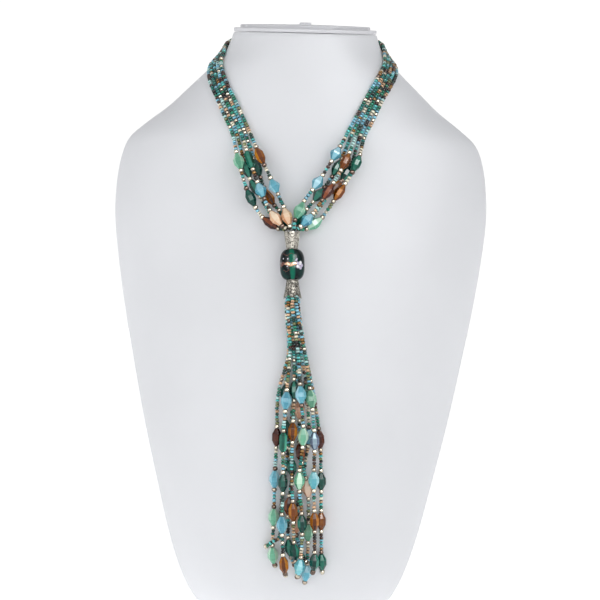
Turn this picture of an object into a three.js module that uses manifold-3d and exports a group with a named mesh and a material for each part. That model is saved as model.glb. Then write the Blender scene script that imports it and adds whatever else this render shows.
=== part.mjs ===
// Beaded necklace with a tassel pendant, resting on a plain neck bust.
// Lengths are millimetres and +Z is up. The origin is the centre of the bust's base, the front faces -Y.
//
// Ten strings of seed beads and large glass beads, five a side, run from a clasp behind the neck to a silver
// cone. Below it hang a large glass bead, a silver bell cap and ten tassel strands that lie on the bust.

import * as THREE from 'three';
import { mergeVertices } from 'three/addons/utils/BufferGeometryUtils.js';
import Module from 'manifold-3d';

const wasm = await Module();
wasm.setup();

// Clearances
const FIT = 0.3;
const LIE = 0.5;

// Neck bust
const BUST_HEIGHT = 393.3;
const BASE_WIDTH = 112;
const SHOULDER_WIDTH = 251.8;
const NECK_WIDTH = 97;
const BASE_FRONT = 46;
const CHEST_FRONT = 71.5;
const NECK_FRONT = 46;
const BACK_DEPTH = 47;
const NECK_SLOPE = 0.11;
const NECK_SLOPE_START = 0.93;
const BUST_SQUARENESS = 2.2;
const BUST_SIDES = 28;
const BUST_RINGS = 27;

// Cap of the neck: a rim as wide as the neck, a smaller plate and a tab
const RIM_THICKNESS = 2.7;
const PLATE_THICKNESS = 2.8;
const PLATE_INSET = 4.4;
const CAP_ROUND = 0.7;
const TAB_WIDTH = 8;
const TAB_DEPTH = 5;
const TAB_HEIGHT = 1.6;

// Clasp
const CLASP_LENGTH = 7.8;
const CLASP_HEIGHT = 14;
const CLASP_THICKNESS = 3.2;
const CLASP_CORNER = 1.6;
const CLASP_DROP = 7.6;

// Strings of seed beads
const SEED_DIAMETER = 2.1;
const THREAD_DIAMETER = 0.8;
const STRING_SIDES = 6;
const STRING_STEP = 14;
const STRING_BEND = 0.2;
const STRING_GAP = 0.8;
const LANES = 5;

// Large glass beads: diameter and length of each kind
const HEX_DIAMETER = 7;
const HEX_LENGTH = 11;
const BAR_DIAMETER = 5.4;
const BAR_LENGTH = 12;
const AMBER_DIAMETER = 6.3;
const AMBER_LENGTH = 11.2;
const ROUND_DIAMETER = 7.6;
const ROUND_LENGTH = 9.4;
const LONG_DIAMETER = 7.2;
const LONG_LENGTH = 11.6;
const GREEN_DIAMETER = 6.6;
const GREEN_LENGTH = 11;
const BEAD_MOUTH = 2.7;
const END_BALL_DIAMETER = 3;

// Pendant
const PENDANT_DIAMETER = 16;
const PENDANT_LENGTH = 19.8;
const PENDANT_MOUTH = 7.2;
const PENDANT_ACROSS = -4.5;
const PENDANT_DROP = 159.5;
const PENDANT_LEAN = 0.033;
const CONE_LENGTH = 11.2;
const CONE_MOUTH = 10.5;
const CONE_FOOT = 7;
const BELL_LENGTH = 11.8;
const BELL_MOUTH = 11.8;
const BELL_FOOT = 7.4;
const CONE_WALL = 0.6;
const WIRE_DIAMETER = 1;
const WIRE_HEAD_DIAMETER = 5;
const WIRE_HEAD_THICKNESS = 1;

// Where the strings pass into the cone and where the strands leave the bell cap
const CONE_RING = 2.75;
const RIM_RING = 3.6;
const KNOT_RING = 2.05;
const BELL_RING = 3.6;
const BELL_KNOT_SHARE = 0.6;
const BELL_SPREAD = 1.12;
const RIM_RISE = [1.3, 1.2, 1.2, 0.8, 0.8];
const RIM_BEND = 1.6;

// Length that one unit of the route tables stands for
const ROUTE_UNIT = 1;

// Sections of the bust from the base up. height is a share of BUST_HEIGHT. width and front say how far the
// section has grown from the end's size to the full size, and back is a share of BACK_DEPTH.
const BUST_SECTIONS = [
  { height: 0, width: 0, front: 0, back: 0.766 },
  { height: 0.0254, width: 0.143, front: 0.176, back: 0.787 },
  { height: 0.0636, width: 0.265, front: 0.392, back: 0.809 },
  { height: 0.1271, width: 0.391, front: 0.627, back: 0.809 },
  { height: 0.2288, width: 0.536, front: 0.882, back: 0.819 },
  { height: 0.3305, width: 0.671, front: 1, back: 0.83 },
  { height: 0.4322, width: 0.787, front: 1, back: 0.84 },
  { height: 0.5212, width: 0.881, front: 0.922, back: 0.851 },
  { height: 0.6102, width: 0.959, front: 0.784, back: 0.872 },
  { height: 0.6814, width: 1, front: 0.627, back: 0.894 },
  { height: 0.7374, width: 0.991, front: 0.471, back: 0.915 },
  { height: 0.7831, width: 0.952, front: 0.353, back: 0.936 },
  { height: 0.8136, width: 0.885, front: 0.286, back: 0.949 },
  { height: 0.8391, width: 0.743, front: 0.227, back: 0.962 },
  { height: 0.867, width: 0.559, front: 0.173, back: 0.974 },
  { height: 0.9026, width: 0.371, front: 0.129, back: 0.991 },
  { height: 0.9306, width: 0.225, front: 0.102, back: 1 },
  { height: 0.9573, width: 0.094, front: 0.078, back: 1 },
  { height: 0.9789, width: 0.034, front: 0.047, back: 0.991 },
  { height: 1, width: 0, front: 0, back: 0.979 },
];

// Route of each bundle of five strings from behind the neck down to the chest, along its middle: turn in
// degrees round the bust from the front, drop below the top of the neck and the pitch of the five lanes, both
// in route units.
const BUNDLES = {
  left: [[150, 7.8, 2.45], [122, 9.3, 2.5], [97, 12.9, 2.6], [78, 19.8, 2.7], [68, 26.8, 2.7],
    [60, 34.9, 2.7], [53, 44.7, 2.6]],
  right: [[150, 7.5, 2.45], [122, 8.3, 2.5], [97, 11.3, 2.6], [78, 18.3, 2.7], [65, 26.3, 2.7],
    [55, 35.7, 2.7], [47.5, 46.3, 2.6]],
};

// Chosen points of the strings on the chest in route units: across, drop below the top of the neck and height
// over the surface, with the kind of the bead that sits there.
const STRING_POINTS = {
  left_1: [
    [-52.3, 59.8, 1.8], [-45.7, 73.8, 2.0], [-40.4, 92.9, 9.0, 'hex'], [-32.2, 117.3, 8.6, 'green'],
    [-19.9, 133.5, 3.8, 'amber'],
  ],
  left_2: [
    [-50.0, 58.5, 1.6], [-43.4, 72.7, 1.6], [-35.7, 97.6, 3.8, 'green'], [-30.1, 109.2, 3.9, 'green'],
    [-17.7, 128.2, 1.6],
  ],
  left_3: [
    [-47.6, 57.4, 1.8], [-40.9, 71.5, 1.9], [-33.5, 91.6, 8.5, 'bar'], [-25.7, 112.4, 10.1, 'round'],
    [-16.3, 130.8, 10.2, 'hex'],
  ],
  left_4: [
    [-45.3, 56.0, 1.6], [-38.6, 70.3, 1.6], [-28.9, 96.1, 3.7, 'green'], [-21.2, 115.3, 3.6, 'amber'],
    [-9.5, 128.9, 3.8, 'green'],
  ],
  left_5: [
    [-42.8, 54.8, 1.8], [-36.0, 69.1, 1.9], [-27.0, 89.1, 8.3, 'amber'], [-17.2, 109.2, 8.4, 'round'],
    [-8.3, 129.0, 12.0, 'hex'],
  ],
  right_1: [
    [46.3, 61.3, 1.8], [40.2, 74.2, 2.0], [35.1, 92.6, 8.5, 'green'], [24.3, 112.2, 8.4, 'amber'],
    [9.7, 133.0, 3.8, 'hex'],
  ],
  right_2: [
    [43.9, 60.0, 1.6], [37.8, 73.0, 1.6], [29.8, 98.9, 3.8, 'green'], [21.2, 107.4, 3.8, 'amber'],
    [8.4, 126.7, 1.6],
  ],
  right_3: [
    [41.4, 58.8, 1.8], [35.2, 71.8, 1.9], [27.9, 91.6, 9.0, 'amber'], [17.0, 112.1, 9.9, 'green'],
    [4.5, 131.2, 10.3, 'round'],
  ],
  right_4: [
    [39.1, 57.6, 1.6], [32.8, 70.6, 1.6], [23.0, 94.9, 3.7, 'green'], [11.4, 113.2, 4.2, 'round'],
    [-0.4, 128.1, 3.8, 'green'],
  ],
  right_5: [
    [36.6, 56.3, 1.8], [30.2, 69.3, 1.9], [21.6, 86.5, 8.3, 'round'], [10.4, 106.3, 8.8, 'round'],
    [-1.5, 124.7, 11.1, 'long'],
  ],
};

// The same for the tassel strands, with where each leaves the bell cap: angle from the front and share of
// BELL_RING.
const STRAND_POINTS = {
  tassel_strand_1: {
    angle: -90,
    ring: 1,
    points: [
      [-5.4, 215.3, 4.1], [-11.3, 242.6, 6.1], [-11.6, 270.3, 3.8, 'amber'],
      [-12.3, 297.5, 4.0, 'hex'], [-12.3, 322.3, 3.9, 'hex'], [-12.7, 347.6, 3.9, 'hex'],
      [-10.2, 355.8, 2.8],
    ],
  },
  tassel_strand_2: {
    angle: -45,
    ring: 1,
    points: [
      [-4.6, 215.3, 7.2], [-6.1, 246.4, 11.1, 'hex'], [-7.3, 272.8, 10.8, 'bar'],
      [-6.7, 298.6, 10.8, 'green'], [-6.7, 325.4, 10.8, 'hex'], [-5.1, 351.5, 10.8, 'amber'],
      [-3.4, 360.1, 8.1],
    ],
  },
  tassel_strand_3: {
    angle: -135,
    ring: 1,
    points: [
      [-4.8, 215.3, 1.6], [-7.2, 241.9, 3.7, 'green'], [-5.9, 264.4, 5.5, 'green'],
      [-1.2, 289.7, 3.7, 'green'], [-3.1, 314.8, 3.9, 'amber'], [-2.2, 342.2, 3.8, 'green'],
      [2.1, 355.3, 2.4],
    ],
  },
  tassel_strand_4: {
    angle: 0,
    ring: 1,
    points: [
      [0.5, 215.3, 8.1], [2.9, 242.4, 12.5, 'hex'], [5.2, 268.9, 11.1, 'hex'],
      [3.2, 297.0, 10.8, 'hex'], [5.8, 324.3, 11.0, 'green'], [5.1, 352.4, 11.6, 'hex'],
      [2.9, 360.7, 8.5],
    ],
  },
  tassel_strand_5: {
    angle: 45,
    ring: 1,
    points: [
      [4.8, 215.2, 7.3], [9.4, 244.9, 10.7, 'hex'], [12.1, 271.4, 10.8, 'green'],
      [12.1, 296.5, 10.8, 'hex'], [13.1, 322.6, 10.8, 'amber'], [13.7, 349.2, 11.0, 'green'],
      [12.7, 357.8, 8.6],
    ],
  },
  tassel_strand_6: {
    angle: 180,
    ring: 1,
    points: [
      [1.2, 215.1, 1.5], [2.4, 252.5, 3.9, 'hex'], [3.3, 279.9, 4.4, 'amber'],
      [8.9, 303.0, 4.3, 'hex'], [9.9, 331.8, 3.9, 'hex'], [9.6, 358.8, 3.9, 'hex'], [8.2, 366.7, 2.4],
    ],
  },
  tassel_strand_7: {
    angle: 90,
    ring: 1,
    points: [
      [5.1, 215.4, 3.5], [11.2, 242.6, 1.8], [15.8, 271.1, 3.8, 'amber'], [17.2, 298.1, 3.8, 'green'],
      [17.9, 324.2, 3.8, 'amber'], [18.8, 351.3, 3.8, 'green'], [19.8, 359.9, 2.6],
    ],
  },
  tassel_strand_8: {
    angle: -90,
    ring: 0.347,
    points: [
      [-2.2, 215.2, 5.6], [-1.4, 239.6, 7.0, 'green'], [-1.5, 266.0, 10.8, 'amber'],
      [-1.6, 290.6, 8.5], [0.0, 316.9, 10.8, 'amber'], [1.4, 343.3, 9.7, 'green'], [4.4, 362.8, 3.0],
    ],
  },
  tassel_strand_9: {
    angle: 90,
    ring: 0.347,
    points: [
      [2.7, 216.1, 5.9], [6.8, 241.4, 4.3, 'green'], [8.7, 269.5, 4.2, 'round'], [6.7, 288.6, 1.5],
      [1.8, 326.9, 3.9, 'hex'], [5.9, 344.3, 2.3], [9.2, 351.2, 8.3],
    ],
  },
  tassel_strand_10: {
    angle: 135,
    ring: 1,
    points: [
      [0.7, 214.6, 4.1], [-1.8, 248.5, 1.8], [-5.0, 284.9, 1.7], [-7.5, 311.3, 2.3],
      [-8.2, 334.6, 1.7], [-12.8, 337.9, 6.7], [-17.6, 342.7, 2.3],
    ],
  },
};

// Looks
const LOOKS = {
  bust: { color: '#dcdde1', roughness: 0.62, metalness: 0 },
  cap: { color: '#e4e5e8', roughness: 0.6, metalness: 0 },
  silver: { color: '#a8a294', roughness: 0.42, metalness: 1 },
  seeds: { color: '#4fa3a3', roughness: 0.25, metalness: 0 },
  strand: { color: '#5aa79f', roughness: 0.22, metalness: 0 },
  pendant: { color: '#0b5a4b', roughness: 0.08, metalness: 0 },
  mint: { color: '#8fd0b4', roughness: 0.2, metalness: 0 },
  peach: { color: '#e6bd93', roughness: 0.25, metalness: 0 },
  blue: { color: '#63b7cf', roughness: 0.15, metalness: 0 },
  emerald: { color: '#12806a', roughness: 0.1, metalness: 0 },
  pine: { color: '#0f4f45', roughness: 0.1, metalness: 0 },
  amber: { color: '#8a4a1c', roughness: 0.1, metalness: 0 },
  maroon: { color: '#6b2b2a', roughness: 0.12, metalness: 0 },
};

const BEADS = {
  hex: { diameter: HEX_DIAMETER, length: HEX_LENGTH, belt: 0.26, sides: 6 },
  long: { diameter: LONG_DIAMETER, length: LONG_LENGTH, belt: 0.24, sides: 6 },
  bar: { diameter: BAR_DIAMETER, length: BAR_LENGTH, belt: 0.72, sides: 8 },
  amber: { diameter: AMBER_DIAMETER, length: AMBER_LENGTH, belt: 0.4, sides: 8 },
  round: { diameter: ROUND_DIAMETER, length: ROUND_LENGTH, belt: 0.16, sides: 6 },
  green: { diameter: GREEN_DIAMETER, length: GREEN_LENGTH, belt: 0.34, sides: 8 },
};

// Kind and colour of the large beads, lane 1 (outer) to lane 5 (inner), from the top tier down
const TIERS = ['top', 'middle', 'low'];
const BEAD_LOOKS = {
  left: [
    ['mint', 'pine', 'emerald', 'pine', 'amber'],
    ['pine', 'pine', 'blue', 'amber', 'blue'],
    ['maroon', null, 'peach', 'pine', 'peach'],
  ],
  right: [
    ['emerald', 'pine', 'amber', 'pine', 'blue'],
    ['amber', 'amber', 'maroon', 'pine', 'blue'],
    ['mint', null, 'blue', 'emerald', 'mint'],
  ],
};

const mix = THREE.MathUtils.lerp;
const rad = THREE.MathUtils.degToRad;

// Cleans a geometry into one closed solid: shared vertices, no collapsed faces, faces pointing out.
function solid(geometry) {
  geometry.deleteAttribute('normal');
  geometry.deleteAttribute('uv');
  const merged = mergeVertices(geometry, 1e-4);
  const index = merged.index.array;
  const p = merged.attributes.position;
  const a = new THREE.Vector3();
  const b = new THREE.Vector3();
  const c = new THREE.Vector3();
  const faces = [];
  let volume = 0;
  for (let i = 0; i < index.length; i += 3) {
    const [i0, i1, i2] = [index[i], index[i + 1], index[i + 2]];
    if (i0 === i1 || i1 === i2 || i2 === i0) continue;
    faces.push(i0, i1, i2);
    a.fromBufferAttribute(p, i0);
    b.fromBufferAttribute(p, i1);
    c.fromBufferAttribute(p, i2);
    volume += a.dot(b.cross(c));
  }
  if (volume < 0) {
    for (let i = 0; i < faces.length; i += 3) {
      [faces[i + 1], faces[i + 2]] = [faces[i + 2], faces[i + 1]];
    }
  }
  const result = new THREE.BufferGeometry();
  result.setAttribute('position', p);
  result.setIndex(faces);
  result.computeVertexNormals();
  return result;
}

function toManifold(geometry) {
  const clean = solid(geometry);
  return new wasm.Manifold(new wasm.Mesh({
    numProp: 3,
    vertProperties: new Float32Array(clean.attributes.position.array),
    triVerts: new Uint32Array(clean.index.array),
  }));
}

function fromManifold(body) {
  const mesh = body.getMesh();
  const geometry = new THREE.BufferGeometry();
  geometry.setAttribute('position', new THREE.BufferAttribute(new Float32Array(mesh.vertProperties), 3));
  geometry.setIndex(Array.from(mesh.triVerts));
  return solid(geometry);
}

// A closed body through rings of points, all with the same count, from the bottom up. The hubs are the
// middle points of its flat ends.
function loft(rings, bottomHub, topHub) {
  const count = rings[0].length;
  const points = rings.flat().concat([bottomHub, topHub]);
  const low = rings.length * count;
  const faces = [];
  for (let r = 0; r + 1 < rings.length; r += 1) {
    for (let i = 0; i < count; i += 1) {
      const j = (i + 1) % count;
      const [p, q, s, t] = [r * count + i, r * count + j, (r + 1) * count + j, (r + 1) * count + i];
      faces.push(p, q, s, p, s, t);
    }
  }
  for (let i = 0; i < count; i += 1) {
    const j = (i + 1) % count;
    faces.push(low, j, i);
    faces.push(low + 1, low - count + i, low - count + j);
  }
  const geometry = new THREE.BufferGeometry().setFromPoints(points);
  geometry.setIndex(faces);
  return solid(geometry);
}

// Lengths of the bust's sections, with slopes for a smooth curve between them
function bustSections() {
  const widest = BUST_SECTIONS.findIndex((row) => row.width === 1);
  const deepest = BUST_SECTIONS.findIndex((row) => row.front === 1);
  const rows = BUST_SECTIONS.map((row, i) => ({
    z: row.height * BUST_HEIGHT,
    lengths: [
      mix(i <= widest ? BASE_WIDTH / 2 : NECK_WIDTH / 2, SHOULDER_WIDTH / 2, row.width),
      mix(i <= deepest ? BASE_FRONT : NECK_FRONT, CHEST_FRONT, row.front),
      row.back * BACK_DEPTH,
    ],
  }));
  rows.forEach((row, i) => {
    const before = rows[Math.max(i - 1, 0)];
    const after = rows[Math.min(i + 1, rows.length - 1)];
    row.slopes = row.lengths.map((_, k) => (after.lengths[k] - before.lengths[k]) / (after.z - before.z));
  });
  return rows;
}

const SECTIONS = bustSections();

// Half width, front depth and back depth of the bust at a height
function sectionAt(height) {
  const z = THREE.MathUtils.clamp(height, 0, BUST_HEIGHT);
  let i = SECTIONS.findIndex((row, k) => k > 0 && z <= row.z) - 1;
  if (i < 0) i = SECTIONS.length - 2;
  const [a, b] = [SECTIONS[i], SECTIONS[i + 1]];
  const span = b.z - a.z;
  const t = (z - a.z) / span;
  return a.lengths.map((length, k) => (2 * t ** 3 - 3 * t ** 2 + 1) * length
    + (t ** 3 - 2 * t ** 2 + t) * span * a.slopes[k]
    + (3 * t ** 2 - 2 * t ** 3) * b.lengths[k]
    + (t ** 3 - t ** 2) * span * b.slopes[k]);
}

// Point on a rounded outline with the given half width and depths, at an angle from the front
function outline(turn, half, front, back, z) {
  const s = Math.sin(turn);
  const c = Math.cos(turn);
  const depth = c >= 0 ? front : back;
  const power = Math.abs(s / half) ** BUST_SQUARENESS + Math.abs(c / depth) ** BUST_SQUARENESS;
  const r = power ** (-1 / BUST_SQUARENESS);
  return new THREE.Vector3(r * s, -r * c, z);
}

// The rings of the bust lie level, and lean forward more and more towards the top of the neck
function surface(turn, height) {
  const point = outline(turn, ...sectionAt(height), height);
  const lean = THREE.MathUtils.smoothstep(height, NECK_SLOPE_START * BUST_HEIGHT, BUST_HEIGHT);
  point.z += NECK_SLOPE * lean * point.y;
  return point;
}

function surfaceNormal(turn, height) {
  const across = surface(turn + 0.02, height).sub(surface(turn - 0.02, height));
  const along = surface(turn, height + 0.5).sub(surface(turn, height - 0.5));
  return across.cross(along).normalize();
}

// Point over the bust at an angle from the front, a drop below the top of the neck and a lift
function over(turn, drop, lift) {
  const height = BUST_HEIGHT - drop;
  return surface(turn, height).addScaledVector(surfaceNormal(turn, height), lift);
}

// A point of the route tables, over the front
function routePoint([across, drop, lift]) {
  return overFront(across * ROUTE_UNIT, drop * ROUTE_UNIT, lift * ROUTE_UNIT);
}

// The same for a point of the front given by how far across it lies
function overFront(across, drop, lift) {
  const [half, front] = sectionAt(BUST_HEIGHT - drop);
  const share = Math.min(Math.abs(across / half), 0.99);
  const depth = front * (1 - share ** BUST_SQUARENESS) ** (1 / BUST_SQUARENESS);
  return over(Math.atan2(across, depth), drop, lift);
}

// Moves a point to the given height over the bust, straight under or over where it is
function seat(point, lift) {
  let turn = Math.atan2(point.x, -point.y);
  let height = point.z;
  for (let i = 0; i < 12; i += 1) {
    const normal = surfaceNormal(turn, height);
    const above = point.clone().sub(surface(turn, height)).dot(normal);
    const foot = point.clone().addScaledVector(normal, -above);
    turn = Math.atan2(foot.x, -foot.y);
    height += foot.z - surface(turn, height).z;
  }
  return over(turn, BUST_HEIGHT - height, lift);
}

// Pendant frame: its middle, its axis pointing up and the directions to its side and away from the bust
const pendantMiddle = overFront(PENDANT_ACROSS, PENDANT_DROP, PENDANT_DIAMETER / 2 + LIE);
const pendantUp = overFront(PENDANT_ACROSS - PENDANT_LEAN * 12, PENDANT_DROP - 12, PENDANT_DIAMETER / 2 + LIE)
  .sub(overFront(PENDANT_ACROSS + PENDANT_LEAN * 12, PENDANT_DROP + 12, PENDANT_DIAMETER / 2 + LIE)).normalize();
const pendantSide = new THREE.Vector3(1, 0, 0).addScaledVector(pendantUp, -pendantUp.x).normalize();
const pendantOut = new THREE.Vector3().crossVectors(pendantSide, pendantUp).negate();
if (pendantOut.y > 0) pendantOut.negate();

const coneFoot = PENDANT_LENGTH / 2 + FIT;
const coneTop = coneFoot + CONE_LENGTH;
const bellMouth = -(PENDANT_LENGTH / 2 + FIT + BELL_LENGTH);
const headInner = coneFoot + CONE_WALL + FIT;
const knot = headInner + WIRE_HEAD_THICKNESS + FIT;

// Point round the pendant's axis
function round(angle, radius, along) {
  return pendantMiddle.clone()
    .addScaledVector(pendantUp, along)
    .addScaledVector(pendantSide, radius * Math.sin(rad(angle)))
    .addScaledVector(pendantOut, radius * Math.cos(rad(angle)));
}

// A route through chosen points, with its length and a frame at any distance along it
class Route {
  constructor(points) {
    this.curve = new THREE.CatmullRomCurve3(points, false, 'catmullrom', 0.5);
    this.curve.arcLengthDivisions = points.length * 40;
    this.lengths = this.curve.getLengths();
    this.length = this.lengths[this.lengths.length - 1];
    this.spans = points.length - 1;
    this.samples = [];
    const count = 240;
    let side = null;
    for (let i = 0; i <= count; i += 1) {
      const tangent = this.curve.getTangentAt(i / count);
      if (!side) side = new THREE.Vector3(0, 0, 1).cross(tangent);
      side = side.clone().addScaledVector(tangent, -side.dot(tangent)).normalize();
      this.samples.push(side);
    }
  }

  // Distance along the route of its chosen point number i
  reach(i) {
    return this.lengths[Math.round((i / this.spans) * this.curve.arcLengthDivisions)];
  }

  at(distance) {
    return this.curve.getPointAt(THREE.MathUtils.clamp(distance / this.length, 0, 1));
  }

  frame(distance) {
    const u = THREE.MathUtils.clamp(distance / this.length, 0, 1);
    const tangent = this.curve.getTangentAt(u);
    const k = Math.min(Math.floor(u * 240), 239);
    const side = this.samples[k].clone().lerp(this.samples[k + 1], u * 240 - k);
    side.addScaledVector(tangent, -side.dot(tangent)).normalize();
    return { point: this.curve.getPointAt(u), side, other: side.clone().cross(tangent) };
  }
}

// A turned body of the given profile, radius and distance, bent along a route
function turnedAlong(profile, sides, route) {
  const points = profile.map(([radius, distance]) => new THREE.Vector2(radius, distance));
  const geometry = new THREE.LatheGeometry(points, sides);
  const p = geometry.attributes.position;
  for (let i = 0; i < p.count; i += 1) {
    const { point, side, other } = route.frame(p.getY(i));
    point.addScaledVector(side, p.getX(i)).addScaledVector(other, p.getZ(i));
    p.setXYZ(i, point.x, point.y, point.z);
  }
  return solid(geometry);
}

function turned(profile, sides) {
  return solid(new THREE.LatheGeometry(profile.map(([x, y]) => new THREE.Vector2(x, y)), sides));
}

// Rings of a plain stretch without its two ends, closer together where the route bends
function stretch(route, radius, from, to) {
  const middle = (from + to) / 2;
  const chord = route.at(from).add(route.at(to)).multiplyScalar(0.5);
  const bend = chord.distanceTo(route.at(middle));
  if (to - from < STRING_STEP && bend < STRING_BEND) return [];
  return [...stretch(route, radius, from, middle), [radius, middle], ...stretch(route, radius, middle, to)];
}

const group = new THREE.Group();

function add(name, geometry, look, parent = group) {
  const mesh = new THREE.Mesh(geometry, new THREE.MeshStandardMaterial(LOOKS[look]));
  mesh.name = name;
  parent.add(mesh);
  return mesh;
}

function addBust() {
  const rings = [];
  for (let r = 0; r < BUST_RINGS; r += 1) {
    const share = r / (BUST_RINGS - 1);
    const height = BUST_HEIGHT * (1 - (1 - share) ** 1.35);
    rings.push(Array.from({ length: BUST_SIDES }, (_, i) => surface((i / BUST_SIDES) * 2 * Math.PI, height)));
  }
  const bottomHub = new THREE.Vector3(BASE_WIDTH * 0.11, -BASE_FRONT * 0.35, 0);
  add('neck_bust', loft(rings, bottomHub, new THREE.Vector3(0, 0, BUST_HEIGHT)), 'bust');
}

function addCap() {
  const [half, front, back] = sectionAt(BUST_HEIGHT);
  const ring = (inset, z) => Array.from({ length: BUST_SIDES }, (_, i) => outline(
    (i / BUST_SIDES) * 2 * Math.PI, half - inset, front - inset, back - inset, z));
  const low = BUST_HEIGHT + FIT;
  const step = low + RIM_THICKNESS;
  const top = step + PLATE_THICKNESS;
  const plate = loft([
    ring(CAP_ROUND, low), ring(0, low + CAP_ROUND), ring(0, step - CAP_ROUND), ring(CAP_ROUND, step),
    ring(PLATE_INSET, step), ring(PLATE_INSET, top - CAP_ROUND), ring(PLATE_INSET + CAP_ROUND, top),
  ], new THREE.Vector3(0, 0, low), new THREE.Vector3(0, 0, top));
  const sink = PLATE_THICKNESS / 2;
  const tab = new THREE.BoxGeometry(TAB_WIDTH, TAB_DEPTH, TAB_HEIGHT + sink);
  tab.translate(0, 0, top + (TAB_HEIGHT - sink) / 2);
  const lean = new THREE.Matrix4().set(1, 0, 0, 0, 0, 1, 0, 0, 0, NECK_SLOPE, 1, 0, 0, 0, 0, 1);
  add('bust_cap', fromManifold(toManifold(plate).add(toManifold(tab))).applyMatrix4(lean), 'cap');
}

function addClasp() {
  const [w, h, r] = [CLASP_LENGTH / 2, CLASP_HEIGHT / 2, CLASP_CORNER];
  const shape = new THREE.Shape();
  shape.absarc(w - r, h - r, r, 0, Math.PI / 2);
  shape.absarc(r - w, h - r, r, Math.PI / 2, Math.PI);
  shape.absarc(r - w, r - h, r, Math.PI, 1.5 * Math.PI);
  shape.absarc(w - r, r - h, r, 1.5 * Math.PI, 2 * Math.PI);
  const plate = new THREE.ExtrudeGeometry(shape, {
    depth: CLASP_THICKNESS, steps: 1, bevelEnabled: false, curveSegments: 3,
  });
  const mesh = add('clasp', solid(plate), 'silver');
  const normal = surfaceNormal(Math.PI, BUST_HEIGHT - CLASP_DROP);
  const up = new THREE.Vector3(0, 0, 1).addScaledVector(normal, -normal.z).normalize();
  const basis = new THREE.Matrix4().makeBasis(up.clone().cross(normal), up, normal);
  mesh.quaternion.setFromRotationMatrix(basis);
  mesh.position.copy(over(Math.PI, CLASP_DROP, LIE));
}

// The five lanes of one side behind and beside the neck
function laneStarts(side) {
  const sign = side === 'left' ? -1 : 1;
  const seedLift = SEED_DIAMETER / 2 + LIE;
  const startTurn = Math.PI - Math.asin((CLASP_LENGTH / 2 + 2 * FIT)
    / (sectionAt(BUST_HEIGHT - CLASP_DROP)[2] + seedLift + LIE));
  const rows = BUNDLES[side].map(([turn, drop, pitch]) => [turn, drop * ROUTE_UNIT, pitch * ROUTE_UNIT]);
  const stations = [[THREE.MathUtils.radToDeg(startTurn), CLASP_DROP, rows[0][2]], ...rows];
  const middle = stations.map(([turn, drop]) => over(rad(turn) * sign, drop, seedLift));
  return Array.from({ length: LANES }, (_, lane) => middle.map((point, i) => {
    const ahead = middle[Math.min(i + 1, middle.length - 1)];
    const behind = middle[Math.max(i - 1, 0)];
    const along = ahead.clone().sub(behind).normalize();
    const [turn, drop, pitch] = stations[i];
    const outward = surfaceNormal(rad(turn) * sign, BUST_HEIGHT - drop).cross(along).multiplyScalar(sign);
    const shift = ((LANES - 1) / 2 - lane) * pitch;
    return seat(point.clone().addScaledVector(outward, shift), seedLift + (turn > 85 ? LIE : LIE / 5));
  }));
}

// A large bead on a straight stretch of thread between two points
function addBead(name, kind, look, from, to) {
  const { diameter, length, belt, sides } = BEADS[kind];
  const bore = THREAD_DIAMETER / 2 + FIT;
  const [l, b, r, m] = [length / 2, (belt * length) / 2, diameter / 2, BEAD_MOUTH / 2];
  const mesh = add(name, turned([
    [bore, -l], [m, -l], [r, -b], [r, b], [m, l], [bore, l], [bore, -l],
  ], sides), look);
  const axis = to.clone().sub(from).normalize();
  const middle = from.clone().add(to).multiplyScalar(0.5);
  const away = surfaceNormal(Math.atan2(middle.x, -middle.y), middle.z);
  away.addScaledVector(axis, -away.dot(axis)).normalize();
  mesh.quaternion.setFromRotationMatrix(new THREE.Matrix4().makeBasis(axis.clone().cross(away), axis, away));
  mesh.rotateY(Math.PI / sides);
  mesh.position.copy(middle);
}

// One string of the neck with its large beads
function addString(side, lane, start) {
  const sign = side === 'left' ? -1 : 1;
  const rows = STRING_POINTS[`${side}_${lane + 1}`];
  const slot = [90, 126, 54, 162, 18][lane] * sign;
  const points = [
    ...start,
    ...rows.map(routePoint),
    round(slot, RIM_RING, coneTop + RIM_RISE[lane]),
    round(slot, CONE_RING, coneTop - RIM_RING),
    round(slot, KNOT_RING, knot),
  ];
  const route = new Route(points);
  const seed = SEED_DIAMETER / 2;
  const thread = THREAD_DIAMETER / 2;
  const profile = [[0, 0], [seed, 0]];
  const first = start.length + rows.length - TIERS.length;
  const kinds = rows.slice(-TIERS.length).map(([, , , kind]) => kind);
  const lowest = kinds.findLastIndex((kind) => kind);
  let done = 0;
  kinds.forEach((kind, tier) => {
    if (!kind) return;
    const middle = route.reach(first + tier);
    const reach = BEADS[kind].length / 2 + STRING_GAP;
    profile.push(...stretch(route, seed, done, middle - reach), [seed, middle - reach]);
    profile.push([thread, middle - reach], [thread, middle + reach]);
    done = middle + reach;
    if (tier !== lowest || lowest < TIERS.length - 1) profile.push([seed, done]);
    addBead(`bead_${side}_${TIERS[tier]}_${lane + 1}`, kind, BEAD_LOOKS[side][tier][lane],
      route.at(middle - reach), route.at(middle + reach));
  });
  const entry = route.reach(points.length - 3);
  if (lowest < TIERS.length - 1) {
    const turn = (route.reach(first + 2) + entry) / 2;
    profile.push(...stretch(route, seed, done, turn), [seed, turn], [thread, turn]);
  }
  const inside = route.reach(points.length - 2);
  profile.push([thread, entry - RIM_BEND], [thread, entry], [thread, entry + RIM_BEND]);
  profile.push([thread, inside], [thread, route.length], [0, route.length]);
  add(`string_${side}_${lane + 1}`, turnedAlong(profile, STRING_SIDES, route), 'seeds');
}

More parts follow.
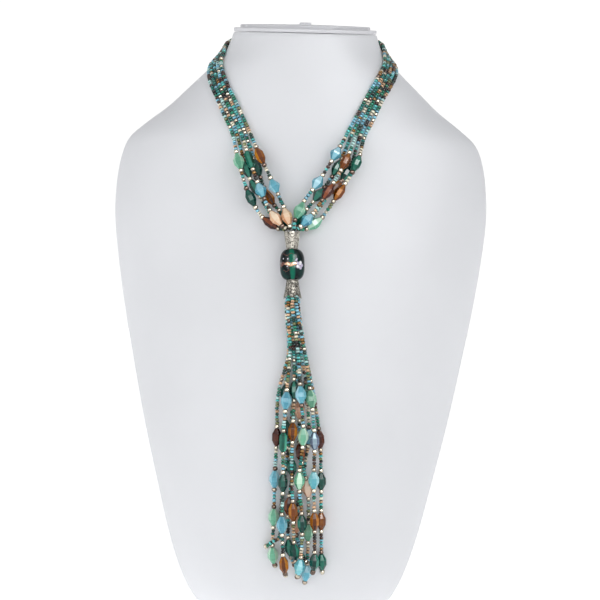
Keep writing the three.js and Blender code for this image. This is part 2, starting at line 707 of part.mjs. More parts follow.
function addStrand(name) {
  const { angle, ring, points } = STRAND_POINTS[name];
  const radius = BELL_RING * ring;
  const route = new Route([
    round(angle, radius * BELL_KNOT_SHARE, -knot),
    round(angle, radius, bellMouth - FIT),
    round(angle, radius * BELL_SPREAD, bellMouth - 4 * SEED_DIAMETER),
    ...points.map(routePoint),
  ]);
  const seed = SEED_DIAMETER / 2;
  const thread = THREAD_DIAMETER / 2;
  const mouth = route.reach(1);
  const profile = [[0, 0], [thread, 0], [thread, mouth / 2], [thread, mouth], [seed, mouth]];
  let done = mouth;
  points.forEach(([, , , kind], i) => {
    if (!kind) return;
    const middle = route.reach(3 + i);
    const { diameter, length, belt } = BEADS[kind];
    profile.push(...stretch(route, seed, done, middle - length / 2), [seed, middle - length / 2]);
    profile.push([diameter / 2, middle - (belt * length) / 2], [diameter / 2, middle + (belt * length) / 2]);
    profile.push([seed, middle + length / 2]);
    done = middle + length / 2;
  });
  const ball = END_BALL_DIAMETER / 2;
  const centre = route.length - ball;
  const neck = centre - Math.sqrt(ball ** 2 - seed ** 2);
  profile.push(...stretch(route, seed, done, neck), [seed, neck]);
  profile.push([ball, centre - ball * 0.25], [ball * 0.8, centre + ball * 0.6], [0, route.length]);
  add(name, turnedAlong(profile, STRING_SIDES, route), 'strand');
}

function addPendant() {
  const frame = new THREE.Group();
  frame.position.copy(pendantMiddle);
  frame.quaternion.setFromRotationMatrix(new THREE.Matrix4().makeBasis(
    pendantUp.clone().cross(pendantOut), pendantUp, pendantOut));
  group.add(frame);
  const bore = WIRE_DIAMETER / 2 + FIT;
  const [l, r, m] = [PENDANT_LENGTH / 2, PENDANT_DIAMETER / 2, PENDANT_MOUTH / 2];
  const shoulder = mix(m, r, 0.72);
  add('pendant_bead', turned([
    [bore, -l], [m, -l], [shoulder, -l * 0.78], [r * 0.965, -l * 0.45], [r, 0], [r * 0.965, l * 0.45],
    [shoulder, l * 0.78], [m, l], [bore, l], [bore, -l],
  ], 16), 'pendant', frame);

  const cup = (length, foot, mouth) => [
    [bore, 0], [foot / 2, 0], [mouth / 2, length], [mouth / 2 - CONE_WALL, length],
    [foot / 2 - CONE_WALL, CONE_WALL], [bore, CONE_WALL], [bore, 0],
  ];
  const cone = add('upper_cone', turned(cup(CONE_LENGTH, CONE_FOOT, CONE_MOUTH), 12), 'silver', frame);
  cone.position.y = coneFoot;
  const bell = add('lower_cone', turned(cup(BELL_LENGTH, BELL_FOOT, BELL_MOUTH), 12), 'silver', frame);
  bell.position.y = -coneFoot;
  bell.rotation.x = Math.PI;

  const [w, h, t] = [WIRE_DIAMETER / 2, WIRE_HEAD_DIAMETER / 2, WIRE_HEAD_THICKNESS];
  add('core_pin', turned([
    [0, -headInner - t], [h, -headInner - t], [h, -headInner], [w, -headInner],
    [w, headInner], [h, headInner], [h, headInner + t], [0, headInner + t],
  ], 10), 'silver', frame);
}

addBust();
addCap();
addClasp();
['left', 'right'].forEach((side) => {
  laneStarts(side).forEach((start, lane) => addString(side, lane, start));
});
addPendant();
Object.keys(STRAND_POINTS).forEach((name) => addStrand(name));

export default group;
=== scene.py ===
"""Beaded necklace with a tassel pendant that lies on a plain neck bust.

Metres, +Z up, the front faces -Y, and the origin is the centre of the bust's base. Ten strings of seed beads
and large glass beads run from a clasp behind the neck to a silver cone. Below it hang a large glass bead, a
silver bell cap and ten tassel strands.
"""

import logging
import math
import random
from dataclasses import dataclass, field
from enum import Enum
from functools import lru_cache
from typing import Dict, List, Optional, Sequence, Tuple, Union

import bmesh
import bpy
import numpy as np
from mathutils import Matrix, Vector


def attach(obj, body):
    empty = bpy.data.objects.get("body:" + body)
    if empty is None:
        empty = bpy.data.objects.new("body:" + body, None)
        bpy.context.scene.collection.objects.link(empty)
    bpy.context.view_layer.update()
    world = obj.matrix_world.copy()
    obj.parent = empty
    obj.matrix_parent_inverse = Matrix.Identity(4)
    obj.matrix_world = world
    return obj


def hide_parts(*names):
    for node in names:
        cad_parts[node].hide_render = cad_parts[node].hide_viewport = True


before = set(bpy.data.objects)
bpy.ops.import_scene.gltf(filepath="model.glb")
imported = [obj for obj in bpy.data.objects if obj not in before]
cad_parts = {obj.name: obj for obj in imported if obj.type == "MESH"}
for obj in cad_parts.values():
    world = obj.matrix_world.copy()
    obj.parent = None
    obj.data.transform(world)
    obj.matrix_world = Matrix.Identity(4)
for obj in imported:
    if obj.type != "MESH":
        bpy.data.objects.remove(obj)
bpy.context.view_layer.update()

log = logging.getLogger("necklace")

MM = 0.001
ROOT = "root"
Colour = Tuple[float, float, float]
Point = np.ndarray
Mesh = Tuple[List[Point], List[List[int]]]
Settings = Dict[str, object]
Inputs = Dict[Union[str, int], object]


# Shader expressions


def rgba(colour: Colour) -> Tuple[float, float, float, float]:
    """Returns the colour with full alpha."""
    return (*colour, 1.0)


def screen(red: int, green: int, blue: int) -> Colour:
    """Turns a colour read off a screen into linear light.

    Args:
        red: Red from 0 to 255.
        green: Green from 0 to 255.
        blue: Blue from 0 to 255.

    Returns:
        The three linear shares.
    """
    def linear(level: int) -> float:
        """Returns one channel as linear light."""
        share = level / 255.0
        return share / 12.92 if share <= 0.04045 else ((share + 0.055) / 1.055) ** 2.4

    return (linear(red), linear(green), linear(blue))


class Wire:
    """An output socket that takes part in Python expressions and adds Math nodes."""

    def __init__(self, graph: "ShaderGraph", socket: bpy.types.NodeSocket) -> None:
        """Keeps the socket and the graph it belongs to.

        Args:
            graph: The graph that new nodes go into.
            socket: The output socket.
        """
        self.graph = graph
        self.socket = socket

    def _math(self, operation: str, first: "Level", second: "Level") -> "Wire":
        """Adds a Math node and returns its output.

        Args:
            operation: The Math node's operation.
            first: First value.
            second: Second value.

        Returns:
            The result as a wire.
        """
        node = self.graph.node("ShaderNodeMath", {"operation": operation}, {0: first, 1: second})
        return Wire(self.graph, node.outputs[0])

    def __add__(self, other: "Level") -> "Wire":
        """Returns self + other."""
        return self._math("ADD", self, other)

    def __radd__(self, other: "Level") -> "Wire":
        """Returns other + self."""
        return self._math("ADD", other, self)

    def __sub__(self, other: "Level") -> "Wire":
        """Returns self - other."""
        return self._math("SUBTRACT", self, other)

    def __rsub__(self, other: "Level") -> "Wire":
        """Returns other - self."""
        return self._math("SUBTRACT", other, self)

    def __mul__(self, other: "Level") -> "Wire":
        """Returns self * other."""
        return self._math("MULTIPLY", self, other)

    def __rmul__(self, other: "Level") -> "Wire":
        """Returns other * self."""
        return self._math("MULTIPLY", other, self)

    def above(self, low: float, high: float) -> "Wire":
        """Returns 0 below low, 1 above high and a smooth rise between them.

        Args:
            low: Value where the rise starts.
            high: Value where it ends.

        Returns:
            The smooth step as a wire.
        """
        node = self.graph.node(
            "ShaderNodeMapRange", {"interpolation_type": "SMOOTHSTEP"},
            {"Value": self, "From Min": low, "From Max": high})
        return Wire(self.graph, node.outputs["Result"])


Level = Union[float, Wire]


class ShaderGraph:
    """The node tree of one material, built from Python."""

    def __init__(self, name: str) -> None:
        """Makes an empty material.

        Args:
            name: The material's name.
        """
        self.material = bpy.data.materials.new(name)
        self.material.use_nodes = True
        self.tree = self.material.node_tree
        self.tree.nodes.clear()

    def node(self, kind: str, settings: Settings, inputs: Inputs) -> bpy.types.Node:
        """Adds a node, sets it and fills its sockets.

        Args:
            kind: The node's type.
            settings: The node's properties.
            inputs: Values or wires by socket name or number.

        Returns:
            The new node.
        """
        node = self.tree.nodes.new(kind)
        for key, value in settings.items():
            setattr(node, key, value)
        for key, value in inputs.items():
            socket = node.inputs[key]
            if isinstance(value, Wire):
                self.tree.links.new(value.socket, socket)
            else:
                socket.default_value = value
        return node

    def place(self) -> Wire:
        """Returns the object coordinates."""
        return Wire(self, self.node("ShaderNodeTexCoord", {}, {}).outputs["Object"])

    def attribute(self, name: str, output: str) -> Wire:
        """Returns a named attribute of the mesh.

        Args:
            name: The attribute's name.
            output: "Color" or "Fac".

        Returns:
            The attribute as a wire.
        """
        return Wire(self, self.node("ShaderNodeAttribute", {"attribute_name": name}, {}).outputs[output])

    def noise(self, scale: float, detail: float = 2.0, roughness: float = 0.5) -> Wire:
        """Returns a noise between 0 and 1.

        Args:
            scale: Repeats to the metre.
            detail: Octaves.
            roughness: Share that each octave keeps.

        Returns:
            The noise value as a wire.
        """
        node = self.node("ShaderNodeTexNoise", {},
                         {"Vector": self.place(), "Scale": scale, "Detail": detail, "Roughness": roughness})
        return Wire(self, node.outputs["Fac"])

    def mix(self, factor: Level, first: Union[Colour, Wire], second: Union[Colour, Wire]) -> Wire:
        """Mixes two colours.

        Args:
            factor: Share of the second colour.
            first: First colour.
            second: Second colour.

        Returns:
            The mixed colour as a wire.
        """
        node = self.tree.nodes.new("ShaderNodeMix")
        node.data_type = "RGBA"
        sockets = [s for s in node.inputs if s.type == "RGBA"]
        for socket, value in ((node.inputs[0], factor), (sockets[0], first), (sockets[1], second)):
            if isinstance(value, Wire):
                self.tree.links.new(value.socket, socket)
            else:
                socket.default_value = rgba(value) if isinstance(value, tuple) else value
        return Wire(self, next(s for s in node.outputs if s.type == "RGBA"))

    def bump(self, height: Wire, strength: float, distance: float) -> Wire:
        """Turns a height into a normal.

        Args:
            height: The height between 0 and 1.
            strength: Strength of the bump.
            distance: Height of 1, in metres.

        Returns:
            The normal as a wire.
        """
        node = self.node("ShaderNodeBump", {}, {"Strength": strength, "Distance": distance, "Height": height})
        return Wire(self, node.outputs["Normal"])

    def finish(self, inputs: Settings) -> bpy.types.Material:
        """Adds the surface shader and the output.

        Args:
            inputs: Values and wires for the shader's sockets.

        Returns:
            The finished material.
        """
        ready = {key: rgba(value) if isinstance(value, tuple) and "Color" in key else value
                 for key, value in inputs.items()}
        shader = self.node("ShaderNodeBsdfPrincipled", {}, ready)
        output = self.tree.nodes.new("ShaderNodeOutputMaterial")
        self.tree.links.new(shader.outputs["BSDF"], output.inputs["Surface"])
        return self.material


# Finishes


@dataclass(frozen=True)
class SatinShell:
    """Smooth moulded shell of the bust and its cap, with a very fine skin."""

    name: str
    colour: Colour
    shade: Colour
    roughness: float = 0.5
    grain: float = 1400.0
    grain_height: float = 0.00005

    def material(self) -> bpy.types.Material:
        """Returns the material of the shell."""
        graph = ShaderGraph(self.name)
        cloud = graph.noise(9.0, 3.0)
        grain = graph.noise(self.grain, 2.0, 0.6)
        return graph.finish({
            "Base Color": graph.mix(cloud.above(0.3, 0.75), self.colour, self.shade),
            "Roughness": self.roughness + 0.12 * (graph.noise(45.0, 2.0) - 0.5) + 0.06 * (grain - 0.5),
            "Specular IOR Level": 0.4,
            "Normal": graph.bump(grain, 0.25, self.grain_height),
        })


@dataclass(frozen=True)
class SeedGlass:
    """Glossy glass of the seed beads, each with its own tone and lustre; their ends are darkened as painted
    shade.
    """

    name: str = "seed_glass"

    def material(self) -> bpy.types.Material:
        """Returns the material of the seed beads."""
        graph = ShaderGraph(self.name)
        tone = graph.attribute("tone", "Color")
        lustre = graph.attribute("lustre", "Fac")
        cloud = graph.noise(1300.0, 1.0)
        # Painted shade: the ends of each bead, where relief is low, are darkened almost to black. This stands
        # in for the shade where beads meet.
        painted_gap_shade = 0.95 * (1.0 - graph.attribute("relief", "Fac").above(0.0, 1.0))
        shaded = graph.mix(painted_gap_shade, tone, (0.004, 0.006, 0.006))
        return graph.finish({
            "Base Color": graph.mix(0.1 * cloud.above(0.4, 0.8), shaded, (0.9, 0.95, 0.9)),
            "Roughness": 0.08 + 0.14 * cloud,
            "Metallic": 0.6 * lustre,
            "Coat Weight": 0.12,
            "Coat Roughness": 0.05,
            "IOR": 1.52,
            "Specular IOR Level": 0.22,
        })


@dataclass(frozen=True)
class AntiqueSilver:
    """Silver with a dark patina that stays in its recesses."""

    name: str
    bright: Colour
    patina: Colour
    wear: Tuple[float, float]
    relief: Optional[str] = None
    roughness: float = 0.3
    tinted: bool = False
    metal: float = 0.6
    scale: float = 900.0

    def material(self) -> bpy.types.Material:
        """Returns the material of the silver."""
        graph = ShaderGraph(self.name)
        cloud = graph.noise(self.scale, 3.0, 0.6)
        polish = cloud.above(*self.wear)
        if self.relief:
            polish = polish * graph.attribute(self.relief, "Fac")
        bright = graph.attribute("tone", "Color") if self.tinted else self.bright
        return graph.finish({
            "Base Color": graph.mix(polish, self.patina, bright),
            "Metallic": self.metal,
            "Roughness": self.roughness + 0.25 * (1.0 - polish),
            "Normal": graph.bump(cloud, 0.3, 0.00008),
        })


@dataclass(frozen=True)
class BeadGlass:
    """Pressed glass of the large beads, from clear to pearly, with light and shade painted in by an
    attribute.
    """

    name: str
    colour: Colour
    deep: Colour
    bright: Colour
    pearl: float = 0.0
    roughness: float = 0.08
    source: str = "facet"
    gloss: float = 1.0

    def material(self) -> bpy.types.Material:
        """Returns the material of one kind of glass."""
        graph = ShaderGraph(self.name)
        swirl = graph.noise(420.0, 2.0, 0.5)
        fine = graph.noise(2600.0, 2.0)
        # Painted light: the attribute darkens the glass into the deep colour as painted shade and lifts it
        # into the bright colour as painted highlights.
        painted_light = graph.attribute(self.source, "Fac") + 0.3 * (swirl - 0.5)
        body = graph.mix(painted_light.above(0.0, 0.62), self.deep, self.colour)
        return graph.finish({
            "Base Color": graph.mix(painted_light.above(0.62, 1.15), body, self.bright),
            "Roughness": self.roughness + 0.08 * (fine - 0.3),
            "Metallic": self.pearl,
            "IOR": 1.52,
            "Specular IOR Level": 0.25 * self.gloss,
            "Coat Weight": 0.15 * self.gloss,
            "Coat Roughness": 0.04,
            "Normal": graph.bump(swirl, 0.3, 0.0002),
        })


@dataclass(frozen=True)
class PlainFinish:
    """A quiet finish for thread, trails and the like, with a little cloud in its colour."""

    name: str
    colour: Colour
    shade: Colour
    roughness: float = 0.4
    metallic: float = 0.0
    scale: float = 900.0
    coat: float = 0.0

    def material(self) -> bpy.types.Material:
        """Returns the material."""
        graph = ShaderGraph(self.name)
        cloud = graph.noise(self.scale, 3.0, 0.6)
        return graph.finish({
            "Base Color": graph.mix(cloud.above(0.35, 0.68), self.colour, self.shade),
            "Roughness": self.roughness + 0.15 * (cloud - 0.5),
            "Metallic": self.metallic,
            "Coat Weight": self.coat,
            "Normal": graph.bump(cloud, 0.2, 0.00006),
        })


class Glass(Enum):
    """Colours of the large glass beads: body colour, a darker one for painted shade, a lighter one for
    painted highlights.
    """

    MINT = BeadGlass("glass_mint", screen(112, 184, 150), screen(62, 136, 106), screen(204, 240, 214),
                     roughness=0.1, gloss=1.6)
    SAGE = BeadGlass("glass_sage", screen(104, 168, 136), screen(54, 116, 92), screen(176, 224, 192),
                     roughness=0.1, gloss=1.6)
    PEACH = BeadGlass("glass_peach", screen(230, 186, 148), screen(194, 138, 102), screen(250, 226, 196),
                      roughness=0.14, gloss=1.3)
    CREAM = BeadGlass("glass_cream", screen(230, 180, 150), screen(190, 132, 106), screen(246, 214, 190),
                      roughness=0.14, gloss=1.3)
    BLUE = BeadGlass("glass_blue", screen(100, 178, 198), screen(42, 122, 148), screen(178, 226, 240),
                     gloss=1.6)
    AQUA = BeadGlass("glass_aqua", screen(112, 194, 204), screen(56, 142, 160), screen(186, 236, 238),
                     gloss=1.6)
    EMERALD = BeadGlass("glass_emerald", screen(8, 98, 80), screen(1, 38, 34), screen(76, 170, 144),
                        roughness=0.04)
    PINE = BeadGlass("glass_pine", screen(4, 64, 56), screen(1, 16, 18), screen(52, 138, 118),
                     roughness=0.04)
    AMBER = BeadGlass("glass_amber", screen(120, 60, 6), screen(40, 15, 2), screen(208, 132, 34),
                      roughness=0.04)
    MAROON = BeadGlass("glass_maroon", screen(68, 21, 10), screen(18, 5, 5), screen(144, 74, 38),
                       roughness=0.05)
    IRIS = BeadGlass("glass_iris", screen(112, 126, 150), screen(50, 60, 84), screen(170, 196, 204),
                     pearl=0.25)

    def slot(self) -> str:
        """Returns the material name of the colour that this one is grouped with."""
        near = {Glass.SAGE: Glass.MINT, Glass.CREAM: Glass.PEACH, Glass.AQUA: Glass.BLUE,
                Glass.IRIS: Glass.BLUE}
        return near.get(self, self).value.name


Finish = Union[SatinShell, SeedGlass, AntiqueSilver, BeadGlass, PlainFinish]


@lru_cache(maxsize=None)
def made(finish: Finish) -> bpy.types.Material:
    """Returns the finish's material, made on first use."""
    return finish.material()


SEED_GLASS = SeedGlass()
PLAIN_SILVER = AntiqueSilver("plain_silver", (0.82, 0.77, 0.66), (0.22, 0.19, 0.15), (0.25, 0.55))
# On the balls, the darker colour lies at the two ends by the thread, where relief is low.
BALL_SILVER = AntiqueSilver("ball_silver", (0.86, 0.8, 0.68), (0.08, 0.055, 0.04), (0.2, 0.5), "relief",
                            roughness=0.2, tinted=True, metal=0.85)
CONE_SILVER = AntiqueSilver("cone_silver", (0.93, 0.89, 0.79), (0.05, 0.043, 0.035), (0.36, 0.56), "relief")
BELL_SILVER = AntiqueSilver("bell_silver", (0.72, 0.69, 0.61), (0.04, 0.035, 0.03), (0.4, 0.62), "relief",
                            roughness=0.38)
# Real thread whose dark colour is painted shade: the slivers seen between the seeds read as shadow.
THREAD_PAINTED_DARK = PlainFinish("thread", screen(96, 90, 80), screen(60, 56, 50), 0.6)

# Tones of the seed beads: colour, share of all beads and lustre
SEED_TONES: Sequence[Tuple[Colour, float, float]] = (
    (screen(134, 202, 224), 16, 0.0), (screen(92, 200, 196), 14, 0.0), (screen(184, 226, 222), 10, 0.0),
    (screen(12, 120, 112), 12, 0.0), (screen(2, 62, 50), 12, 0.0), (screen(32, 136, 106), 12, 0.0),
    (screen(148, 104, 38), 10, 0.2), (screen(222, 180, 142), 7, 0.0), (screen(240, 232, 208), 9, 0.0),
    (screen(66, 27, 12), 7, 0.1), (screen(12, 8, 14), 5, 0.1), (screen(128, 134, 86), 6, 0.1),
)

# Tones of the silver balls and their share
BALL_TONES: Sequence[Tuple[Colour, float]] = (
    ((0.62, 0.57, 0.46), 6), ((0.4, 0.35, 0.28), 4), ((0.14, 0.1, 0.08), 3),
)


# Meshes


class Shape:
    """Points and faces that are gathered into one mesh, with a material number for each face."""

    PLAIN_LEVEL = 1.0
    PLAIN_FACET = 0.5

    def __init__(self) -> None:
        """Starts empty."""
        self.points: List[Sequence[float]] = []
        self.faces: List[Sequence[int]] = []
        self.slots: List[int] = []
        self.smooth: List[bool] = []
        self.levels: List[float] = []
        self.facets: List[float] = []

    def add(self, points: Sequence[Sequence[float]], faces: Sequence[Sequence[int]], slot: int = 0,
            smooth: bool = True, levels: Optional[Sequence[float]] = None,
            facets: Optional[Sequence[float]] = None) -> None:
        """Adds a part to the shape.

        Args:
            points: The part's points.
            faces: Its faces, counted from its own first point.
            slot: Material number.
            smooth: True where the faces are shaded smooth.
            levels: One relief value for each point, 1 if left out.
            facets: One brightness for each face, 0.5 if left out.
        """
        base = len(self.points)
        self.points.extend(points)
        self.levels.extend(levels if levels is not None else [self.PLAIN_LEVEL] * len(points))
        self.facets.extend(facets if facets is not None else [self.PLAIN_FACET] * len(faces))
        for face in faces:
            self.faces.append([base + i for i in face])
            self.slots.append(slot)
            self.smooth.append(smooth)

    def build(self, name: str, materials: Sequence[bpy.types.Material]) -> bpy.types.Object:
        """Makes the object.

        Args:
            name: Name of the piece.
            materials: Its materials, in the order of the material numbers.

        Returns:
            The new object, at the origin.
        """
        mesh = bpy.data.meshes.new(name)
        mesh.from_pydata([tuple(p) for p in self.points], [], self.faces)
        for material in materials:
            mesh.materials.append(material)
        mesh.polygons.foreach_set("material_index", self.slots)
        mesh.polygons.foreach_set("use_smooth", self.smooth)
        mesh.attributes.new("relief", "FLOAT", "POINT").data.foreach_set("value", self.levels)
        mesh.attributes.new("facet", "FLOAT", "FACE").data.foreach_set("value", self.facets)
        mesh.update()
        work = bmesh.new()
        work.from_mesh(mesh)
        bmesh.ops.recalc_face_normals(work, faces=work.faces)
        work.to_mesh(mesh)
        work.free()
        piece = bpy.data.objects.new(name, mesh)
        bpy.context.scene.collection.objects.link(piece)
        return piece


def rings_to_faces(rings: int, sides: int, closed: bool = False,
                   capped: bool = False) -> List[List[int]]:
    """Lists the faces between rings of points.

    Args:
        rings: Count of rings.
        sides: Points in each ring.
        closed: True where the last ring joins the first.
        capped: True where the two end rings are filled.

    Returns:
        The faces as lists of point numbers.
    """
    faces = []
    for r in range(rings if closed else rings - 1):
        low, high = r * sides, ((r + 1) % rings) * sides
        for i in range(sides):
            j = (i + 1) % sides
            faces.append([low + i, low + j, high + j, high + i])
    if capped:
        faces.append(list(range(sides))[::-1])
        faces.append([(rings - 1) * sides + i for i in range(sides)])
    return faces


def unit(vector: Point) -> Point:
    """Returns the vector at length 1."""
    return vector / np.linalg.norm(vector)


def frame_along(axis: Point, away: Point) -> np.ndarray:
    """Makes the three directions of a part that lies along an axis.

    Args:
        axis: Direction of the part's own Z.
        away: Direction that its own Y leans to.

    Returns:
        A matrix whose columns are the part's X, Y and Z.
    """
    z = unit(axis)
    y = unit(away - z * float(away @ z))
    return np.column_stack([np.cross(y, z), y, z])


def ride(piece: bpy.types.Object, slot: str, *nodes: str) -> bpy.types.Object:
    """Makes a piece ride on the part and stand for CAD nodes.

    Args:
        piece: The piece.
        slot: Not used.
        nodes: CAD nodes that it stands for.

    Returns:
        The piece.
    """
    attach(piece, ROOT)
    if nodes:
        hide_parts(*nodes)
    log.info("%s: %d faces", piece.name, len(piece.data.polygons))
    return piece


# Neck bust


@dataclass
class Bust:
    """Plain display bust of shoulders and neck, with its stepped cap.

    Each row holds a share of the height, then how far the half width and the front have gone from their value
    at the base or the neck to their largest value, and the back as a share of its depth.
    """

    height: float = 393.3 * MM
    base_width: float = 112 * MM
    shoulder_width: float = 251.8 * MM
    neck_width: float = 97 * MM
    base_front: float = 46 * MM
    chest_front: float = 71.5 * MM
    neck_front: float = 46 * MM
    back_depth: float = 47 * MM
    slope: float = 0.11
    slope_start: float = 0.93
    squareness: float = 2.2
    sides: int = 168
    edge: float = 1.6 * MM
    gap: float = 0.3 * MM
    rim: float = 2.7 * MM
    rim_round: float = 0.7 * MM
    plate: float = 2.2 * MM
    crown: float = 0.8 * MM
    inset: float = 4.4 * MM
    tab: Tuple[float, float, float] = (8 * MM, 5 * MM, 2.2 * MM)
    tab_round: float = 0.45 * MM
    tab_sink: float = 1.2 * MM
    top_round: float = 0.8 * MM
    levels_count: int = 150
    seat_rounds: int = 12
    rows: Sequence[Tuple[float, float, float, float]] = (
        (0, 0, 0, 0.766), (0.0254, 0.143, 0.176, 0.787), (0.0636, 0.265, 0.392, 0.809),
        (0.1271, 0.391, 0.627, 0.809), (0.2288, 0.536, 0.882, 0.819), (0.3305, 0.671, 1, 0.83),
        (0.4322, 0.787, 1, 0.84), (0.5212, 0.881, 0.922, 0.851), (0.6102, 0.959, 0.784, 0.872),
        (0.6814, 1, 0.627, 0.894), (0.7374, 0.991, 0.471, 0.915), (0.7831, 0.952, 0.353, 0.936),
        (0.8136, 0.885, 0.286, 0.949), (0.8391, 0.743, 0.227, 0.962), (0.867, 0.559, 0.173, 0.974),
        (0.9026, 0.371, 0.129, 0.991), (0.9306, 0.225, 0.102, 1), (0.9573, 0.094, 0.078, 1),
        (0.9789, 0.034, 0.047, 0.991), (1, 0, 0, 0.979),
    )
    skin: SatinShell = SatinShell("bust_shell", screen(227, 228, 231), screen(222, 223, 226), 0.52)
    cap_skin: SatinShell = SatinShell("cap_shell", screen(220, 220, 223), screen(215, 215, 219), 0.5)

    def __post_init__(self) -> None:
        """Works out the lengths and slopes of the sections."""
        widest = next(i for i, row in enumerate(self.rows) if row[1] == 1)
        deepest = next(i for i, row in enumerate(self.rows) if row[2] == 1)
        self.levels = np.array([row[0] * self.height for row in self.rows])
        lengths = []
        for i, (_, width, front, back) in enumerate(self.rows):
            end = self.base_width / 2 if i <= widest else self.neck_width / 2
            low = self.base_front if i <= deepest else self.neck_front
            lengths.append([end + (self.shoulder_width / 2 - end) * width,
                            low + (self.chest_front - low) * front, back * self.back_depth])
        self.lengths = np.array(lengths)
        last = len(self.rows) - 1
        self.slopes = np.array([
            (self.lengths[min(i + 1, last)] - self.lengths[max(i - 1, 0)])
            / (self.levels[min(i + 1, last)] - self.levels[max(i - 1, 0)]) for i in range(last + 1)])

    def section(self, height: float) -> np.ndarray:
        """Gives the bust's section at a height.

        Args:
            height: Height over the base.

        Returns:
            Half width, front depth and back depth.
        """
        z = min(max(height, 0.0), self.height)
        i = min(max(int(np.searchsorted(self.levels, z)) - 1, 0), len(self.rows) - 2)
        span = self.levels[i + 1] - self.levels[i]
        t = (z - self.levels[i]) / span
        return ((2 * t ** 3 - 3 * t ** 2 + 1) * self.lengths[i]
                + (t ** 3 - 2 * t ** 2 + t) * span * self.slopes[i]
                + (3 * t ** 2 - 2 * t ** 3) * self.lengths[i + 1]
                + (t ** 3 - t ** 2) * span * self.slopes[i + 1])

    def outline(self, turn: float, half: float, front: float, back: float, z: float) -> Point:
        """Gives a point of a rounded outline.

        Args:
            turn: Angle from the front, in radians.
            half: Half width.
            front: Depth at the front.
            back: Depth at the back.
            z: Height.

        Returns:
            The point.
        """
        s, c = math.sin(turn), math.cos(turn)
        depth = front if c >= 0 else back
        power = abs(s / half) ** self.squareness + abs(c / depth) ** self.squareness
        r = power ** (-1 / self.squareness)
        return np.array([r * s, -r * c, z])

    def surface(self, turn: float, height: float) -> Point:
        """Gives the surface point at a turn and a height."""
        return self.leaning(self.outline(turn, *self.section(height), height), height)

    def leaning(self, point: Point, height: float) -> Point:
        """Leans a point forward as the top of the neck does.

        Args:
            point: The point on a level ring.
            height: Height whose lean is used.

        Returns:
            The moved point.
        """
        start = self.slope_start * self.height
        share = min(max((height - start) / (self.height - start), 0.0), 1.0)
        share = share * share * (3 - 2 * share)
        return point + np.array([0.0, 0.0, self.slope * share * point[1]])

    def normal(self, turn: float, height: float) -> Point:
        """Gives the outward direction of the surface at a turn and a height."""
        aside, rise = 0.02, 0.5 * MM
        across = self.surface(turn + aside, height) - self.surface(turn - aside, height)
        along = self.surface(turn, height + rise) - self.surface(turn, height - rise)
        return unit(np.cross(across, along))

    def over(self, turn: float, drop: float, lift: float) -> Point:
        """Gives a point over the surface.

        Args:
            turn: Angle from the front, in radians.
            drop: Drop below the top of the neck.
            lift: Height over the surface.

        Returns:
            The point.
        """
        height = self.height - drop
        return self.surface(turn, height) + self.normal(turn, height) * lift

    def over_front(self, across: float, drop: float, lift: float) -> Point:
        """Gives a point over the front, by how far across it lies.

        Args:
            across: Distance to the right of the middle.
            drop: Drop below the top of the neck.
            lift: Height over the surface.

        Returns:
            The point.
        """
        half, front, _ = self.section(self.height - drop)
        share = min(abs(across / half), 0.99)
        depth = front * (1 - share ** self.squareness) ** (1 / self.squareness)
        return self.over(math.atan2(across, depth), drop, lift)

    def seat(self, point: Point, lift: float) -> Point:
        """Moves a point to a height over the surface under it.

        Args:
            point: The point.
            lift: Height over the surface.

        Returns:
            The moved point.
        """
        turn, height = math.atan2(point[0], -point[1]), point[2]
        for _ in range(self.seat_rounds):
            normal = self.normal(turn, height)
            foot = point - normal * float((point - self.surface(turn, height)) @ normal)
            turn = math.atan2(foot[0], -foot[1])
            height += foot[2] - self.surface(turn, height)[2]
        return self.over(turn, self.height - height, lift)

    def _ring(self, height: float, inset: float, at: float) -> List[Point]:
        """Gives one ring of the outline.

        Args:
            height: Height whose section is used.
            inset: How far the ring lies inside the section.
            at: Height where the ring lies.

        Returns:
            The ring's points.
        """
        half, front, back = self.section(height)
        return [self.leaning(self.outline(2 * math.pi * i / self.sides, half - inset, front - inset,
                                          back - inset, at), height) for i in range(self.sides)]

    def _turned(self, rings: List[List[Point]], shape: Shape, crown: float = 0.0) -> None:
        """Adds rings to a shape, with ends that close through smaller rings.

        Args:
            rings: The rings from the bottom up.
            shape: The shape that they join.
            crown: How far the upper end rises in its middle.
        """
        shares = (0.9, 0.75, 0.5, 0.2)
        ends = []
        for ring, rise in ((rings[0], 0.0), (rings[-1], crown)):
            middle = sum(ring) / len(ring)
            lifts = [np.array([0, 0, rise * (1 - share ** 2)]) for share in shares]
            ends.append([[middle + (p - middle) * share + lift for p in ring]
                         for share, lift in zip(shares, lifts)])
        rows = ends[0][::-1] + rings + ends[1]
        shape.add([p for ring in rows for p in ring], rings_to_faces(len(rows), self.sides, capped=True))

    def build(self) -> None:
        """Builds the torso with its neck."""
        rings = [self._ring(0, self.edge * (1 - math.sin(a)), self.edge * (1 - math.cos(a)))
                 for a in (0.0, 0.4, 0.8, 1.2)]
        top = self.height - self.top_round
        chamfer = 0.25 * MM
        rings += [self._ring(z, 0, z) for z in np.linspace(self.edge, top, self.levels_count)]
        rings += [self._ring(self.height, chamfer, self.height - chamfer),
                  self._ring(self.height, self.top_round, self.height)]
        shape = Shape()
        self._turned(rings, shape)
        ride(shape.build("bust_torso", [made(self.skin)]), "bust", "neck_bust")

